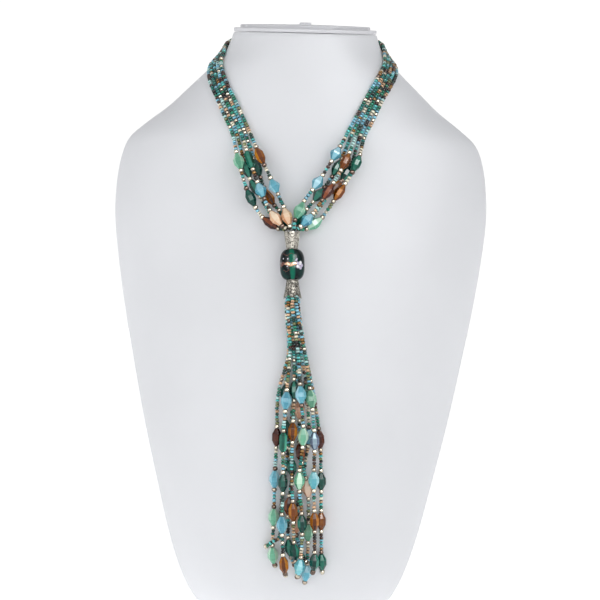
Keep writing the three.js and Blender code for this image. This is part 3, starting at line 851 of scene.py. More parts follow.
    def build_cap(self) -> None:
        """Builds the rim, the plate and the tab that close the neck."""
        low = self.height + self.gap
        step = low + self.rim
        top = step + self.plate
        r = self.rim_round
        rings = []
        for base, high, inset in ((low, step, 0.0), (step, top, self.inset)):
            turns = [(inset + r * (1 - math.cos(a)), high - r + r * math.sin(a))
                     for a in (0, 0.5, 1.05, 1.57)]
            foot = [(inset + r, base), (inset + 0.25 * r, base + 0.3 * r)] if inset == 0 else [(inset, base)]
            rings += [self._ring(self.height, i, z) for i, z in foot + turns]
        shape = Shape()
        self._turned(rings, shape, self.crown)
        width, depth, rise = self.tab
        points, faces = rounded_box((width, depth, rise + self.tab_sink), self.tab_round,
                                    (0, 0, top + (rise - self.tab_sink) / 2))
        shape.add([self.leaning(np.array(p), self.height) for p in points], faces)
        ride(shape.build("bust_cap_plate", [made(self.cap_skin)]), "cap", "bust_cap")


def rounded_box(size: Sequence[float], radius: float, middle: Sequence[float]) -> Tuple[List, List]:
    """Makes a box with rounded edges.

    Args:
        size: Lengths along X, Y and Z.
        radius: Radius of the edges.
        middle: Middle of the box.

    Returns:
        Points and faces.
    """
    work = bmesh.new()
    bmesh.ops.create_cube(work, size=1.0)
    bmesh.ops.scale(work, vec=Vector(size), verts=work.verts)
    bmesh.ops.bevel(work, geom=work.edges[:], offset=radius, segments=3, affect="EDGES", profile=0.5)
    bmesh.ops.translate(work, vec=Vector(middle), verts=work.verts)
    work.verts.ensure_lookup_table()
    points = [v.co.copy() for v in work.verts]
    faces = [[v.index for v in f.verts] for f in work.faces]
    work.free()
    return points, faces


# Routes and what is strung on them


class Route:
    """A smooth route through chosen points, measured along its length."""

    STEPS = 60

    def __init__(self, points: Sequence[Point]) -> None:
        """Samples the route.

        Args:
            points: The chosen points.
        """
        p = [np.array(q, float) for q in points]
        p = [2 * p[0] - p[1]] + p + [2 * p[-1] - p[-2]]
        t = np.linspace(0, 1, self.STEPS, endpoint=False)[:, None]
        parts = []
        for a, b, c, d in zip(p, p[1:], p[2:], p[3:]):
            m, n = (c - a) / 2, (d - b) / 2
            parts.append(b + m * t + (3 * (c - b) - 2 * m - n) * t ** 2 + (2 * (b - c) + m + n) * t ** 3)
        self.samples = np.vstack(parts + [p[-2][None]])
        steps = np.linalg.norm(np.diff(self.samples, axis=0), axis=1)
        self.reaches = np.concatenate([[0.0], np.cumsum(steps)])
        self.length = float(self.reaches[-1])

    def reach(self, number: int) -> float:
        """Returns the distance along the route of a chosen point."""
        return float(self.reaches[number * self.STEPS])

    def at(self, distance: float) -> Point:
        """Returns the point at a distance along the route."""
        return np.array([np.interp(distance, self.reaches, self.samples[:, k]) for k in range(3)])

    def ahead(self, distance: float) -> Point:
        """Returns the direction of the route at a distance."""
        d = 0.4 * MM
        return unit(self.at(distance + d) - self.at(distance - d))


class Place(Enum):
    """What a place of a thread holds."""

    SEED = 0
    BALL = 1
    BARE = 2


@dataclass
class Strung:
    """Small beads in their order on one thread."""

    points: List[Point] = field(default_factory=list)
    axes: List[Point] = field(default_factory=list)
    kinds: List[int] = field(default_factory=list)
    girths: List[float] = field(default_factory=list)
    lengths: List[float] = field(default_factory=list)
    tones: List[Tuple[float, float, float, float]] = field(default_factory=list)
    lustres: List[float] = field(default_factory=list)

    def put(self, point: Point, axis: Point, kind: Place = Place.BARE, girth: float = 1.0,
            length: float = 1.0, tone: Colour = (1, 1, 1), lustre: float = 0.0) -> None:
        """Adds one place on the thread.

        Args:
            point: Where the bead lies.
            axis: Direction of the thread there.
            kind: What the place holds.
            girth: Scale across the thread.
            length: Scale along the thread.
            tone: Colour of the bead.
            lustre: Metallic lustre of the bead.
        """
        self.points.append(point)
        self.axes.append(axis)
        self.kinds.append(kind.value)
        self.girths.append(girth)
        self.lengths.append(length)
        self.tones.append(rgba(tone))
        self.lustres.append(lustre)

    def carrier(self, name: str) -> bpy.types.Object:
        """Makes the line of points that the node tree reads.

        Args:
            name: Name of the object.

        Returns:
            The object.
        """
        mesh = bpy.data.meshes.new(name)
        count = len(self.points)
        mesh.from_pydata([tuple(p) for p in self.points], [(i, i + 1) for i in range(count - 1)], [])
        for label, kind, values in (("girth", "FLOAT", self.girths), ("along", "FLOAT", self.lengths),
                                    ("lustre", "FLOAT", self.lustres), ("kind", "INT", self.kinds)):
            mesh.attributes.new(label, kind, "POINT").data.foreach_set("value", values)
        mesh.attributes.new("axis", "FLOAT_VECTOR", "POINT").data.foreach_set(
            "vector", [x for axis in self.axes for x in axis])
        mesh.attributes.new("tone", "FLOAT_COLOR", "POINT").data.foreach_set(
            "color", [x for tone in self.tones for x in tone])
        thing = bpy.data.objects.new(name, mesh)
        bpy.context.scene.collection.objects.link(thing)
        return thing


class TreeBuilder:
    """A geometry node tree with named inputs, built from Python."""

    def __init__(self, name: str) -> None:
        """Makes an empty tree with a geometry input and output.

        Args:
            name: The tree's name.
        """
        self.tree = bpy.data.node_groups.new(name, "GeometryNodeTree")
        self.tree.interface.new_socket(name="Geometry", in_out="OUTPUT", socket_type="NodeSocketGeometry")
        self.tree.interface.new_socket(name="Geometry", in_out="INPUT", socket_type="NodeSocketGeometry")
        self.entry = self.tree.nodes.new("NodeGroupInput")

    def add_input(self, name: str, kind: str) -> None:
        """Adds a named input.

        Args:
            name: Name of the input.
            kind: Its socket type.
        """
        self.tree.interface.new_socket(name=name, in_out="INPUT", socket_type=kind)

    def given(self, name: str) -> bpy.types.NodeSocket:
        """Returns the socket of a named input."""
        return self.entry.outputs[name]

    def node(self, kind: str, settings: Settings, inputs: Inputs) -> bpy.types.Node:
        """Adds a node, sets it and fills its sockets.

        Args:
            kind: The node's type.
            settings: Its properties.
            inputs: Values or output sockets by socket name or number.

        Returns:
            The new node.
        """
        node = self.tree.nodes.new(kind)
        for key, value in settings.items():
            setattr(node, key, value)
        for key, value in inputs.items():
            if isinstance(value, bpy.types.NodeSocket):
                self.tree.links.new(value, node.inputs[key])
            else:
                node.inputs[key].default_value = value
        return node

    def named(self, name: str, kind: str) -> bpy.types.NodeSocket:
        """Returns a named attribute.

        Args:
            name: Name of the attribute.
            kind: Its data type.

        Returns:
            The socket that carries it.
        """
        node = self.node("GeometryNodeInputNamedAttribute", {"data_type": kind}, {"Name": name})
        return node.outputs["Attribute"]

    def end(self, *parts: bpy.types.NodeSocket) -> None:
        """Joins the parts and sends them out.

        Args:
            parts: Geometry sockets.
        """
        join = self.node("GeometryNodeJoinGeometry", {}, {})
        for part in parts:
            self.tree.links.new(part, join.inputs[0])
        leave = self.tree.nodes.new("NodeGroupOutput")
        self.tree.links.new(join.outputs[0], leave.inputs[0])

    def run(self, thing: bpy.types.Object, name: str, values: Settings) -> bpy.types.Object:
        """Runs the tree on an object and turns the result into a plain mesh.

        Args:
            thing: The object that carries the tree's geometry, removed afterwards.
            name: Name of the result.
            values: Values of the named inputs.

        Returns:
            The new piece.
        """
        modifier = thing.modifiers.new("make", "NODES")
        modifier.node_group = self.tree
        sockets = self.tree.interface.items_tree
        keys = {item.name: item.identifier for item in sockets if item.in_out == "INPUT"}
        for key, value in values.items():
            modifier[keys[key]] = value
        thing.update_tag()
        depsgraph = bpy.context.evaluated_depsgraph_get()
        mesh = bpy.data.meshes.new_from_object(thing.evaluated_get(depsgraph))
        mesh.name = name
        piece = bpy.data.objects.new(name, mesh)
        bpy.context.scene.collection.objects.link(piece)
        bpy.data.objects.remove(thing)
        return piece


class ThreadTree(TreeBuilder):
    """Sets seed beads and silver balls on a line of points and draws the thread through them."""

    SEED_STEP = 7.0
    THREAD_SIDES = 6

    def __init__(self) -> None:
        """Builds the tree."""
        super().__init__("strung_beads")
        for name, kind in (("Seed Bead", "Object"), ("Ball", "Object"), ("Thread Radius", "Float"),
                           ("Variation", "Float"), ("Seed", "Int"), ("Glass", "Material"),
                           ("Silver", "Material"), ("Thread", "Material")):
            self.add_input(name, "NodeSocket" + kind)
        line = self.given("Geometry")
        align = self.node("FunctionNodeAlignRotationToVector", {"axis": "Z"},
                          {"Vector": self.named("axis", "FLOAT_VECTOR")})
        turn = self.node("FunctionNodeRandomValue", {"data_type": "FLOAT"}, {})
        self._fill(turn, {"Min": 0.0, "Max": 2 * math.pi, "Seed": self.given("Seed")})
        spin = self.node("FunctionNodeAxisAngleToRotation", {},
                         {"Axis": (0, 0, 1), "Angle": self._value(turn)})
        rotate = self.node("FunctionNodeRotateRotation", {"rotation_space": "LOCAL"},
                           {0: align.outputs[0], 1: spin.outputs[0]})
        spread = self.node("FunctionNodeRandomValue", {"data_type": "FLOAT"}, {})
        low = self.node("ShaderNodeMath", {"operation": "SUBTRACT"}, {0: 1.0, 1: self.given("Variation")})
        high = self.node("ShaderNodeMath", {"operation": "ADD"}, {0: 1.0, 1: self.given("Variation")})
        shifted = self.node("ShaderNodeMath", {"operation": "ADD"},
                            {0: self.given("Seed"), 1: self.SEED_STEP})
        self._fill(spread, {"Min": low.outputs[0], "Max": high.outputs[0], "Seed": shifted.outputs[0]})
        girth = self.node("ShaderNodeMath", {"operation": "MULTIPLY"},
                          {0: self.named("girth", "FLOAT"), 1: self._value(spread)})
        scale = self.node("ShaderNodeCombineXYZ", {}, {
            "X": girth.outputs[0], "Y": girth.outputs[0], "Z": self.named("along", "FLOAT")})
        parts = []
        for kind, shape, finish in ((Place.SEED, "Seed Bead", "Glass"), (Place.BALL, "Ball", "Silver")):
            chosen = self.node("FunctionNodeCompare", {"data_type": "INT", "operation": "EQUAL"}, {})
            self._fill(chosen, {"A": self.named("kind", "INT"), "B": kind.value})
            pattern = self.node("GeometryNodeObjectInfo", {}, {"Object": self.given(shape)})
            put = self.node("GeometryNodeInstanceOnPoints", {}, {
                "Points": line, "Selection": chosen.outputs[0], "Instance": pattern.outputs["Geometry"],
                "Rotation": rotate.outputs[0], "Scale": scale.outputs[0]})
            real = self.node("GeometryNodeRealizeInstances", {}, {"Geometry": put.outputs[0]})
            parts.append(self.node("GeometryNodeSetMaterial", {}, {
                "Geometry": real.outputs[0], "Material": self.given(finish)}).outputs[0])
        curve = self.node("GeometryNodeMeshToCurve", {}, {"Mesh": line})
        circle = self.node("GeometryNodeCurvePrimitiveCircle", {}, {
            "Resolution": self.THREAD_SIDES, "Radius": self.given("Thread Radius")})
        tube = self.node("GeometryNodeCurveToMesh", {}, {
            "Curve": curve.outputs[0], "Profile Curve": circle.outputs[0], "Fill Caps": True})
        parts.append(self.node("GeometryNodeSetMaterial", {}, {
            "Geometry": tube.outputs[0], "Material": self.given("Thread")}).outputs[0])
        self.end(*parts)

    def _fill(self, node: bpy.types.Node, values: Settings) -> None:
        """Fills the enabled sockets of a node that has one of each name for every data type.

        Args:
            node: The node.
            values: Values or sockets by name.
        """
        for key, value in values.items():
            socket = next(s for s in node.inputs if s.name == key and s.enabled)
            if isinstance(value, bpy.types.NodeSocket):
                self.tree.links.new(value, socket)
            else:
                socket.default_value = value

    @staticmethod
    def _value(node: bpy.types.Node) -> bpy.types.NodeSocket:
        """Returns the enabled output of a node."""
        return next(s for s in node.outputs if s.enabled)


@dataclass
class SmallBeads:
    """Seed beads and silver balls: their sizes, their colours and the thread."""

    seed_diameter: float = 2.1 * MM
    seed_length: float = 1.92 * MM
    ball_diameter: float = 3.0 * MM
    thread_radius: float = 0.2 * MM
    swell: float = 1.2
    variation: float = 0.09
    jitter: float = 0.15 * MM
    tilt: float = 0.12
    seed_lengths: Tuple[float, float] = (0.82, 1.18)
    shades: Tuple[float, float] = (0.72, 1.22)
    runs: Sequence[int] = (1, 1, 1, 1, 2, 2)
    spacers: float = 0.05
    spacer_length: float = 1.3
    spacer_size: float = 0.88
    ball_size: float = 1.12
    ball_share: float = 0.47
    # Painted shade: above the height below, at the top of the neck, dark tones are drawn more often, and
    # below it they are drawn less often.
    painted_shade_share: Tuple[float, float] = (1.45, 0.7)
    painted_shade_above: float = 345 * MM
    dark_tone: float = 0.2
    seed_sides: int = 10
    ball_sides: int = 12

    def __post_init__(self) -> None:
        """Makes the node tree and the two patterns, and works out how common each tone is high and low."""
        self.tree = ThreadTree()
        radius, half = self.seed_diameter / 2 * self.swell, self.seed_length / 2
        # The third number of each ring is its relief. It is 0 at the ends, which the seed glass darkens as
        # painted shade between beads.
        self.seed = self._pattern("seed_pattern", [
            (width * radius, height * half, level) for width, height, level in (
                (0.4, -0.92, 0.0), (0.76, -0.8, 0.35), (1, -0.34, 1.0), (1, 0.34, 1.0), (0.76, 0.8, 0.35),
                (0.4, 0.92, 0.0))], self.seed_sides)
        # The third number of each ring is its relief. It falls to 0 at the two ends by the thread, where the
        # ball silver turns darker.
        radius = self.ball_diameter / 2
        self.ball = self._pattern("ball_pattern", [
            (radius * math.cos(math.radians(a)), radius * 0.94 * math.sin(math.radians(a)), level)
            for a, level in ((-66, 0.0), (-45, 0.5), (-22, 1.0), (0, 1.0), (22, 1.0), (45, 0.5), (66, 0.0))],
            self.ball_sides)
        self.ball_half = self.ball_share * self.ball_diameter
        self.high_shares, self.low_shares = [
            [share * (factor if max(tone) < self.dark_tone else 1.0) for tone, share, _ in SEED_TONES]
            for factor in self.painted_shade_share]

    @staticmethod
    def _pattern(name: str, profile: Sequence[Tuple[float, float, float]], sides: int) -> bpy.types.Object:
        """Makes one small bead at the origin.

        Args:
            name: Name of the pattern.
            profile: Radius, height and relief of each ring.
            sides: Count of sides.

        Returns:
            The object.
        """
        shape = Shape()
        points = [(r * math.cos(2 * math.pi * i / sides), r * math.sin(2 * math.pi * i / sides), z)
                  for r, z, _ in profile for i in range(sides)]
        levels = [level for _, _, level in profile for _ in range(sides)]
        shape.add(points, rings_to_faces(len(profile), sides, capped=True), levels=levels)
        pattern = shape.build(name, [])
        pattern.data.attributes.remove(pattern.data.attributes["facet"])
        return pattern

    def fill(self, strung: Strung, route: Route, start: float, end: float, draw: random.Random) -> None:
        """Strings seed beads side by side along a stretch of a route.

        Args:
            strung: The beads strung so far.
            route: The route.
            start: Distance where the stretch starts.
            end: Distance where it ends.
            draw: Source of the random choices.
        """
        count = max(int(round((end - start) / self.seed_length)), 0)
        spacers = [draw.random() < self.spacers and 0 < i < count - 1 for i in range(count)]
        sizes = [self.spacer_length if spacer else draw.uniform(*self.seed_lengths) for spacer in spacers]
        step = (end - start) / max(sum(sizes), 0.1)
        run, tone, lustre, distance = 0, (1.0, 1.0, 1.0), 0.0, start
        for size, spacer in zip(sizes, spacers):
            middle = distance + size * step / 2
            if spacer:
                self.ball_at(strung, route, middle, draw, self.spacer_size)
                distance += size * step
                continue
            if run == 0:
                # High on the neck, dark tones are drawn more often, as painted shade.
                high = route.at(distance)[2] > self.painted_shade_above
                shares = self.high_shares if high else self.low_shares
                tone, _, lustre = draw.choices(SEED_TONES, shares)[0]
                run = draw.choice(self.runs)
            run -= 1
            distance += size * step
            shade = draw.uniform(*self.shades)
            shift, tilt = [np.array([draw.uniform(-1, 1) for _ in range(3)]) for _ in range(2)]
            strung.put(route.at(middle) + shift * self.jitter, unit(route.ahead(middle) + tilt * self.tilt),
                       Place.SEED, 1.0, size * step / self.seed_length,
                       tuple(min(c * shade, 1.0) for c in tone), lustre)

    def ball_at(self, strung: Strung, route: Route, place: float, draw: random.Random, size: float,
                look_back: float = 0.0) -> None:
        """Strings one silver ball.

        Args:
            strung: The beads strung so far.
            route: The route.
            place: Distance of the ball's middle.
            draw: Source of the random choices.
            size: Scale of the ball.
            look_back: How far before the ball the thread's direction is read.
        """
        tone = draw.choices(BALL_TONES, [share for _, share in BALL_TONES])[0][0]
        strung.put(route.at(place), route.ahead(place - look_back), Place.BALL, size, size, tone)

    def flank(self, strung: Strung, route: Route, done: float, middle: float, half: float,
              draw: random.Random) -> float:
        """Strings seed beads up to a large bead, and a silver ball at each of its ends.

        Args:
            strung: The beads strung so far.
            route: The route.
            done: Distance where the beads strung so far end.
            middle: Distance of the large bead's middle.
            half: Half the large bead's length.
            draw: Source of the random choices.

        Returns:
            The distance where the second ball ends.
        """
        self.fill(strung, route, done, middle - half - 2 * self.ball_half, draw)
        for away in (-1, 1):
            self.ball_at(strung, route, middle + away * (half + self.ball_half), draw, self.ball_size)
        return middle + half + 2 * self.ball_half

    def piece(self, strung: Strung, name: str, seed: int) -> bpy.types.Object:
        """Turns strung beads into one piece.

        Args:
            strung: The beads.
            name: Name of the piece.
            seed: Seed of its small variations.

        Returns:
            The piece.
        """
        return self.tree.run(strung.carrier(name + "_line"), name, {
            "Seed Bead": self.seed, "Ball": self.ball, "Thread Radius": self.thread_radius,
            "Variation": self.variation, "Seed": seed, "Glass": made(SEED_GLASS),
            "Silver": made(BALL_SILVER), "Thread": made(THREAD_PAINTED_DARK)})

    def clear(self) -> None:
        """Removes the two patterns."""
        for pattern in (self.seed, self.ball):
            bpy.data.objects.remove(pattern)


# Large glass beads


@dataclass(frozen=True)
class CutSizes:
    """Sizes of one cut of bead. Each ring is its share of the half length and of the radius."""

    diameter: float
    length: float
    sides: int
    rings: Sequence[Tuple[float, float]]
    mirrored: bool = True
    bevel: float = 0.16 * MM
    mouth: float = 2.7 * MM
    bore: float = 0.9 * MM


class Cut(Enum):
    """Cuts of the large glass beads."""

    HEX = CutSizes(7 * MM, 11 * MM, 6, ((0.26, 1),))
    LONG = CutSizes(7.2 * MM, 11.6 * MM, 6, ((0.24, 1),))
    ROUND = CutSizes(7.6 * MM, 9.4 * MM, 6, ((0.16, 1),))
    BAR = CutSizes(5.4 * MM, 12 * MM, 8, ((0.72, 1),))
    OVAL = CutSizes(6.3 * MM, 11.2 * MM, 8, ((0.4, 1),))
    TEAR = CutSizes(6.3 * MM, 11.2 * MM, 8, ((-0.1, 0.86), (0.42, 1)), False)
    CASK = CutSizes(6.6 * MM, 11 * MM, 8, ((0.34, 1),))


class BeadMaker:
    """Cuts the large beads, paints light and shade on their facets and sets them on their threads."""

    # Painted light of the facets: a brightness for each side, more for facets that face out, and a painted
    # highlight on edge faces.
    FACET_PAINTED_LIGHT = (0.92, 0.34, 0.62, 0.12, 0.74, 0.3, 0.54, 0.2)
    FRONT_PAINTED_LIGHT = 0.16
    EDGE_PAINTED_HIGHLIGHT = 0.8
    EDGE_WIDTH = 0.9 * MM
    SHARP = math.radians(8)
    BORE_CLEAR = 1.5

    def __init__(self) -> None:
        """Starts the random choices of the facets."""
        self._draw = random.Random(41)

    @classmethod
    @lru_cache(maxsize=None)
    def cut(cls, kind: Cut) -> Tuple[List, List, List]:
        """Makes one bead of a cut along its own Z, on first use.

        Args:
            kind: The cut.

        Returns:
            Points, faces, and for each face its turn round the axis, its slant and whether it is an edge.
        """
        sizes = kind.value
        half, r, n = sizes.length / 2, sizes.diameter / 2, sizes.sides
        upper = [(share * half, size * r) for share, size in sizes.rings]
        lower = [(-z, size) for z, size in upper] if sizes.mirrored else []
        profile = ([(-half, sizes.bore / 2), (-half, sizes.mouth / 2)] + sorted(lower + upper)
                   + [(half, sizes.mouth / 2), (half, sizes.bore / 2)])
        work = bmesh.new()
        rings = [[work.verts.new((radius * math.sin(math.pi * (2 * i + 1) / n),
                                  radius * math.cos(math.pi * (2 * i + 1) / n), z)) for i in range(n)]
                 for z, radius in profile]
        for k, ring in enumerate(rings):
            above = rings[(k + 1) % len(rings)]
            for i in range(n):
                j = (i + 1) % n
                work.faces.new((ring[i], ring[j], above[j], above[i]))
        bmesh.ops.recalc_face_normals(work, faces=work.faces)
        work.normal_update()
        outer = sizes.bore / 2 * cls.BORE_CLEAR
        edges = [e for e in work.edges if e.calc_face_angle(0.0) > cls.SHARP
                 and all(math.hypot(v.co.x, v.co.y) > outer for v in e.verts)]
        bmesh.ops.bevel(work, geom=edges, offset=sizes.bevel, segments=2, affect="EDGES", profile=0.6,
                        clamp_overlap=True)
        work.verts.ensure_lookup_table()
        work.verts.index_update()
        work.normal_update()
        points = [np.array(v.co) for v in work.verts]
        faces = [[v.index for v in f.verts] for f in work.faces]
        places = [(math.atan2(f.normal.x, f.normal.y), f.normal.z, f.calc_area() < cls.EDGE_WIDTH ** 2)
                  for f in work.faces]
        work.free()
        return points, faces, places

    def _facets(self, kind: Cut, places: Sequence[Tuple[float, float, bool]]) -> List[float]:
        """Paints light on each facet of one bead, as it falls through glass, with painted highlights on
        edges.

        Args:
            kind: The bead's cut.
            places: Turn and slant of each face, and whether it is an edge.

        Returns:
            A brightness for each face.
        """
        sides = kind.value.sides
        start, values = self._draw.randrange(sides), []
        tones = [self.FACET_PAINTED_LIGHT[(i + start) % sides] for i in range(sides)]
        slants = {-1: self._draw.uniform(-0.16, 0.04), 0: 0.06, 1: self._draw.uniform(-0.06, 0.2)}
        for turn, slant, edge in places:
            number = int(math.floor(turn * sides / (2 * math.pi) + 0.5)) % sides
            level = 0 if abs(slant) < 0.15 else int(math.copysign(1, -slant))
            value = tones[number] + slants[level] + self.FRONT_PAINTED_LIGHT * math.cos(turn)
            # Painted highlight on every other edge face.
            values.append(max(value, self.EDGE_PAINTED_HIGHLIGHT) if edge and number % 2 else value)
        return values

    def set(self, shape: Shape, kind: Cut, route: Route, place: float, bust: Bust, slot: int,
            gap: float = 0.0) -> None:
        """Sets a bead on its thread, straight between the two places where the thread enters it.

        Args:
            shape: The shape that it joins.
            kind: Its cut.
            route: Route of the thread.
            place: Distance of the bead's middle along the route.
            bust: The bust that the bead lies on.
            slot: Material number.
            gap: Distance from the bead's ends to the two places.
        """
        points, faces, places = self.cut(kind)
        half = kind.value.length / 2
        start, end = route.at(place - half - gap), route.at(place + half + gap)
        middle = (start + end) / 2
        away = bust.normal(math.atan2(middle[0], -middle[1]), middle[2])
        turn = frame_along(end - start, away)
        shape.add([middle + turn @ p for p in points], faces, slot, smooth=False,
                  facets=self._facets(kind, places))


BEADS = BeadMaker()


# Pendant


@dataclass(frozen=True)
class ConeForm:
    """One silver cone with lobes that grow towards its mouth. Flip is 1 for a mouth that points up, else -1.

    Swell and scallop say how far the lobes stand out and lengthen the mouth.
    """

    name: str
    node: str
    flip: float
    length: float
    foot: float
    mouth: float
    lobes: int
    swell: float
    scallop: float
    flare: float
    seed: int
    finish: AntiqueSilver

    def lobe(self, angle: float) -> float:
        """Returns 1 in the middle of a lobe and 0 between two, at an angle in degrees."""
        return 0.5 + 0.5 * math.cos(math.radians(angle) * self.lobes)


@dataclass
class Pendant:
    """The large glass bead between its two silver cones, and the frame that everything hangs from."""

    bust: Bust
    diameter: float = 16 * MM
    length: float = 19.8 * MM
    mouth: float = 7.2 * MM
    across: float = -4.5 * MM
    drop: float = 159.5 * MM
    lean: float = 0.033
    lie: float = 0.5 * MM
    fit: float = 0.3 * MM
    cone: ConeForm = ConeForm("cone_upper", "upper_cone", 1.0, 11.2 * MM, 7 * MM, 10.5 * MM, 6, 0.35 * MM,
                              0.5 * MM, 1.0, 17, CONE_SILVER)
    bell: ConeForm = ConeForm("cone_bell", "lower_cone", -1.0, 11.8 * MM, 7.4 * MM, 11.8 * MM, 5, 1.1 * MM,
                              1.6 * MM, 1.25, 23, BELL_SILVER)
    grain: float = 0.5 * MM
    grain_lift: float = 0.12 * MM
    wall: float = 0.6 * MM
    head: float = 1 * MM
    core: float = 1.2 * MM
    sides: int = 72

    def __post_init__(self) -> None:
        """Works out the pendant's frame."""
        lift = self.diameter / 2 + self.lie
        step = 12 * MM
        self.middle = self.bust.over_front(self.across, self.drop, lift)
        self.up = unit(self.bust.over_front(self.across - self.lean * step, self.drop - step, lift)
                       - self.bust.over_front(self.across + self.lean * step, self.drop + step, lift))
        self.side = unit(np.array([1.0, 0, 0]) - self.up * self.up[0])
        self.out = -np.cross(self.side, self.up)
        if self.out[1] > 0:
            self.out = -self.out
        self.foot = self.length / 2 + self.fit
        self.cone_top = self.foot + self.cone.length
        self.bell_rim = -(self.foot + self.bell.length)
        self.knot = self.foot + self.wall + self.fit + self.head + self.fit

    def round(self, angle: float, radius: float, along: float) -> Point:
        """Gives a point round the pendant's axis.

        Args:
            angle: Angle from the front, in degrees.
            radius: Distance from the axis.
            along: Height along the axis.

        Returns:
            The point.
        """
        a = math.radians(angle)
        across = self.side * (radius * math.sin(a))
        return self.middle + self.up * along + across + self.out * (radius * math.cos(a))

    def outward(self, angle: float) -> Point:
        """Returns the direction away from the axis at an angle in degrees."""
        return unit(self.round(angle, 1.0, 0) - self.round(angle, 0.0, 0))

    def radius_at(self, along: float) -> float:
        """Returns the glass bead's radius at a height along its axis."""
        mouth, full = self.mouth / 2, self.diameter / 2
        share = min(abs(along) / (self.length / 2), 1.0)
        return mouth + (full - mouth) * (1 - share ** 3.2) ** 0.55

    def _turned(self, profile: Sequence[Tuple[float, float]], sides: int) -> Mesh:
        """Turns a closed profile round the pendant's axis.

        Args:
            profile: Radius and height of each point of the closed profile.
            sides: Count of sides.

        Returns:
            Points and faces.
        """
        points = [self.round(360 * i / sides, r, z) for r, z in profile for i in range(sides)]
        return points, rings_to_faces(len(profile), sides, closed=True)

    def _blob(self, angle: float, along: float, size: Tuple[float, float, float], turn: float = 0.0) -> Mesh:
        """Makes a flattened drop of glass that is partly sunk in the surface.

        Args:
            angle: Angle from the front, in degrees.
            along: Height along the axis.
            size: Half lengths round, along and away from the surface.
            turn: Turn of the drop on the surface, in degrees.

        Returns:
            Points and faces.
        """
        sink = 0.3
        radius = self.radius_at(along)
        out = self.outward(angle)
        middle = self.round(angle, radius - size[2] * sink, along)
        y = self.up * math.cos(math.radians(turn)) + np.cross(out, self.up) * math.sin(math.radians(turn))
        x = np.cross(y, out)
        rings, sides = 7, 14
        points = []
        for k in range(rings):
            a = math.pi * (k + 0.5) / rings
            for i in range(sides):
                b = 2 * math.pi * i / sides
                points.append(middle + x * (size[0] * math.sin(a) * math.cos(b))
                              + y * (size[1] * math.sin(a) * math.sin(b)) + out * (size[2] * math.cos(a)))
        return points, rings_to_faces(rings, sides, capped=True)

    def _trail(self, start: float, end: float, along: float, wave: float, width: float) -> Mesh:
        """Makes a fine raised trail of glass round part of the bead.

        Args:
            start: Angle where it starts, in degrees.
            end: Angle where it ends.
            along: Height along the axis.
            wave: Height of its wave.
            width: Its half width.

        Returns:
            Points and faces.
        """
        rows, sides = 40, 8
        height = 0.22 * MM
        wave_turn = 9.4
        points = []
        for k in range(rows):
            t = k / (rows - 1)
            angle = start + (end - start) * t
            level = along + wave * math.sin(t * wave_turn)
            taper = math.sin(math.pi * min(max(t, 0.03), 0.97)) ** 0.4
            out = self.outward(angle)
            middle = self.round(angle, self.radius_at(level), level)
            for i in range(sides):
                b = 2 * math.pi * i / sides
                across = self.up * (width * taper * math.cos(b))
                points.append(middle + across + out * (height * taper * math.sin(b)))
        return points, rings_to_faces(rows, sides, capped=True)

    @staticmethod
    def _painted_light_at(angle: float, level: float) -> float:
        """Gives the painted light that the glass bead would let through at a place of its surface.

        Args:
            angle: Angle from the front, in degrees.
            level: Height, from -1 at the foot to 1 at the top.

        Returns:
            The painted brightness: an upright stripe of light at the front and the back, and shade on the
                sides.
        """
        stripe_half, stripe_edge, stripe_light = 11.0, 5.0, 1.1
        off = abs((angle + 3.0 * level + 90) % 180 - 90)
        stripe = 1.0 - min(max((off - stripe_half) / stripe_edge, 0.0), 1.0)
        # Painted shade on the sides, darker further from the stripe.
        side = 0.26 + 0.22 * math.sin(math.radians(angle) * 3 + 2.5 * level) - 0.12 * (off / 90)
        return side + (stripe_light - side) * stripe

    def build_bead(self) -> None:
        """Builds the glass bead with its painted stripe of light, its bright core and the trails on it."""
        half = self.length / 2
        rows = 44
        levels = [half * math.sin(math.pi * (k / (rows - 1) - 0.5)) for k in range(rows)]
        bore = self.core - 0.02 * MM
        glass = BeadGlass("pendant_emerald", screen(3, 52, 48), screen(1, 14, 17), screen(4, 108, 84),
                          roughness=0.03, source="relief", gloss=0.5)
        core = PlainFinish("pendant_core", screen(60, 210, 150), screen(30, 170, 120), 0.4)
        brown = PlainFinish("pendant_brown", screen(120, 66, 44), screen(66, 34, 28), 0.25, 0.3,
                            scale=2600.0, coat=0.6)
        gold = PlainFinish("pendant_gold", screen(226, 184, 150), screen(186, 138, 106), 0.25, 0.35,
                           scale=2600.0, coat=0.6)
        white = PlainFinish("pendant_white", screen(238, 236, 240), screen(212, 208, 220), 0.2,
                            scale=1800.0, coat=0.8)
        lilac = PlainFinish("pendant_lilac", screen(206, 196, 218), screen(170, 160, 192), 0.2,
                            scale=1800.0, coat=0.8)
        shape = Shape()
        outline = [(bore, -half)] + [(self.radius_at(z), z) for z in levels] + [(bore, half)]
        points, faces = self._turned(outline, self.sides)
        # The relief attribute of the glass carries its painted light.
        painted_light = [self._painted_light_at(360 * i / self.sides, z / half) for _, z in outline for i in range(self.sides)]
        shape.add(points, faces, slot=0, levels=painted_light)
        inner = 0.62 * MM
        tube = [(inner, -half), (self.core, -half), (self.core, half), (inner, half)]
        shape.add(*self._turned(tube, 32), slot=1)
        for turn in (0, 180):
            self._ornaments(shape, turn)
        finishes = [made(f) for f in (glass, core, brown, gold, white, lilac)]
        ride(shape.build("pendant_glass_bead", finishes), "pendant_glass", "pendant_bead")

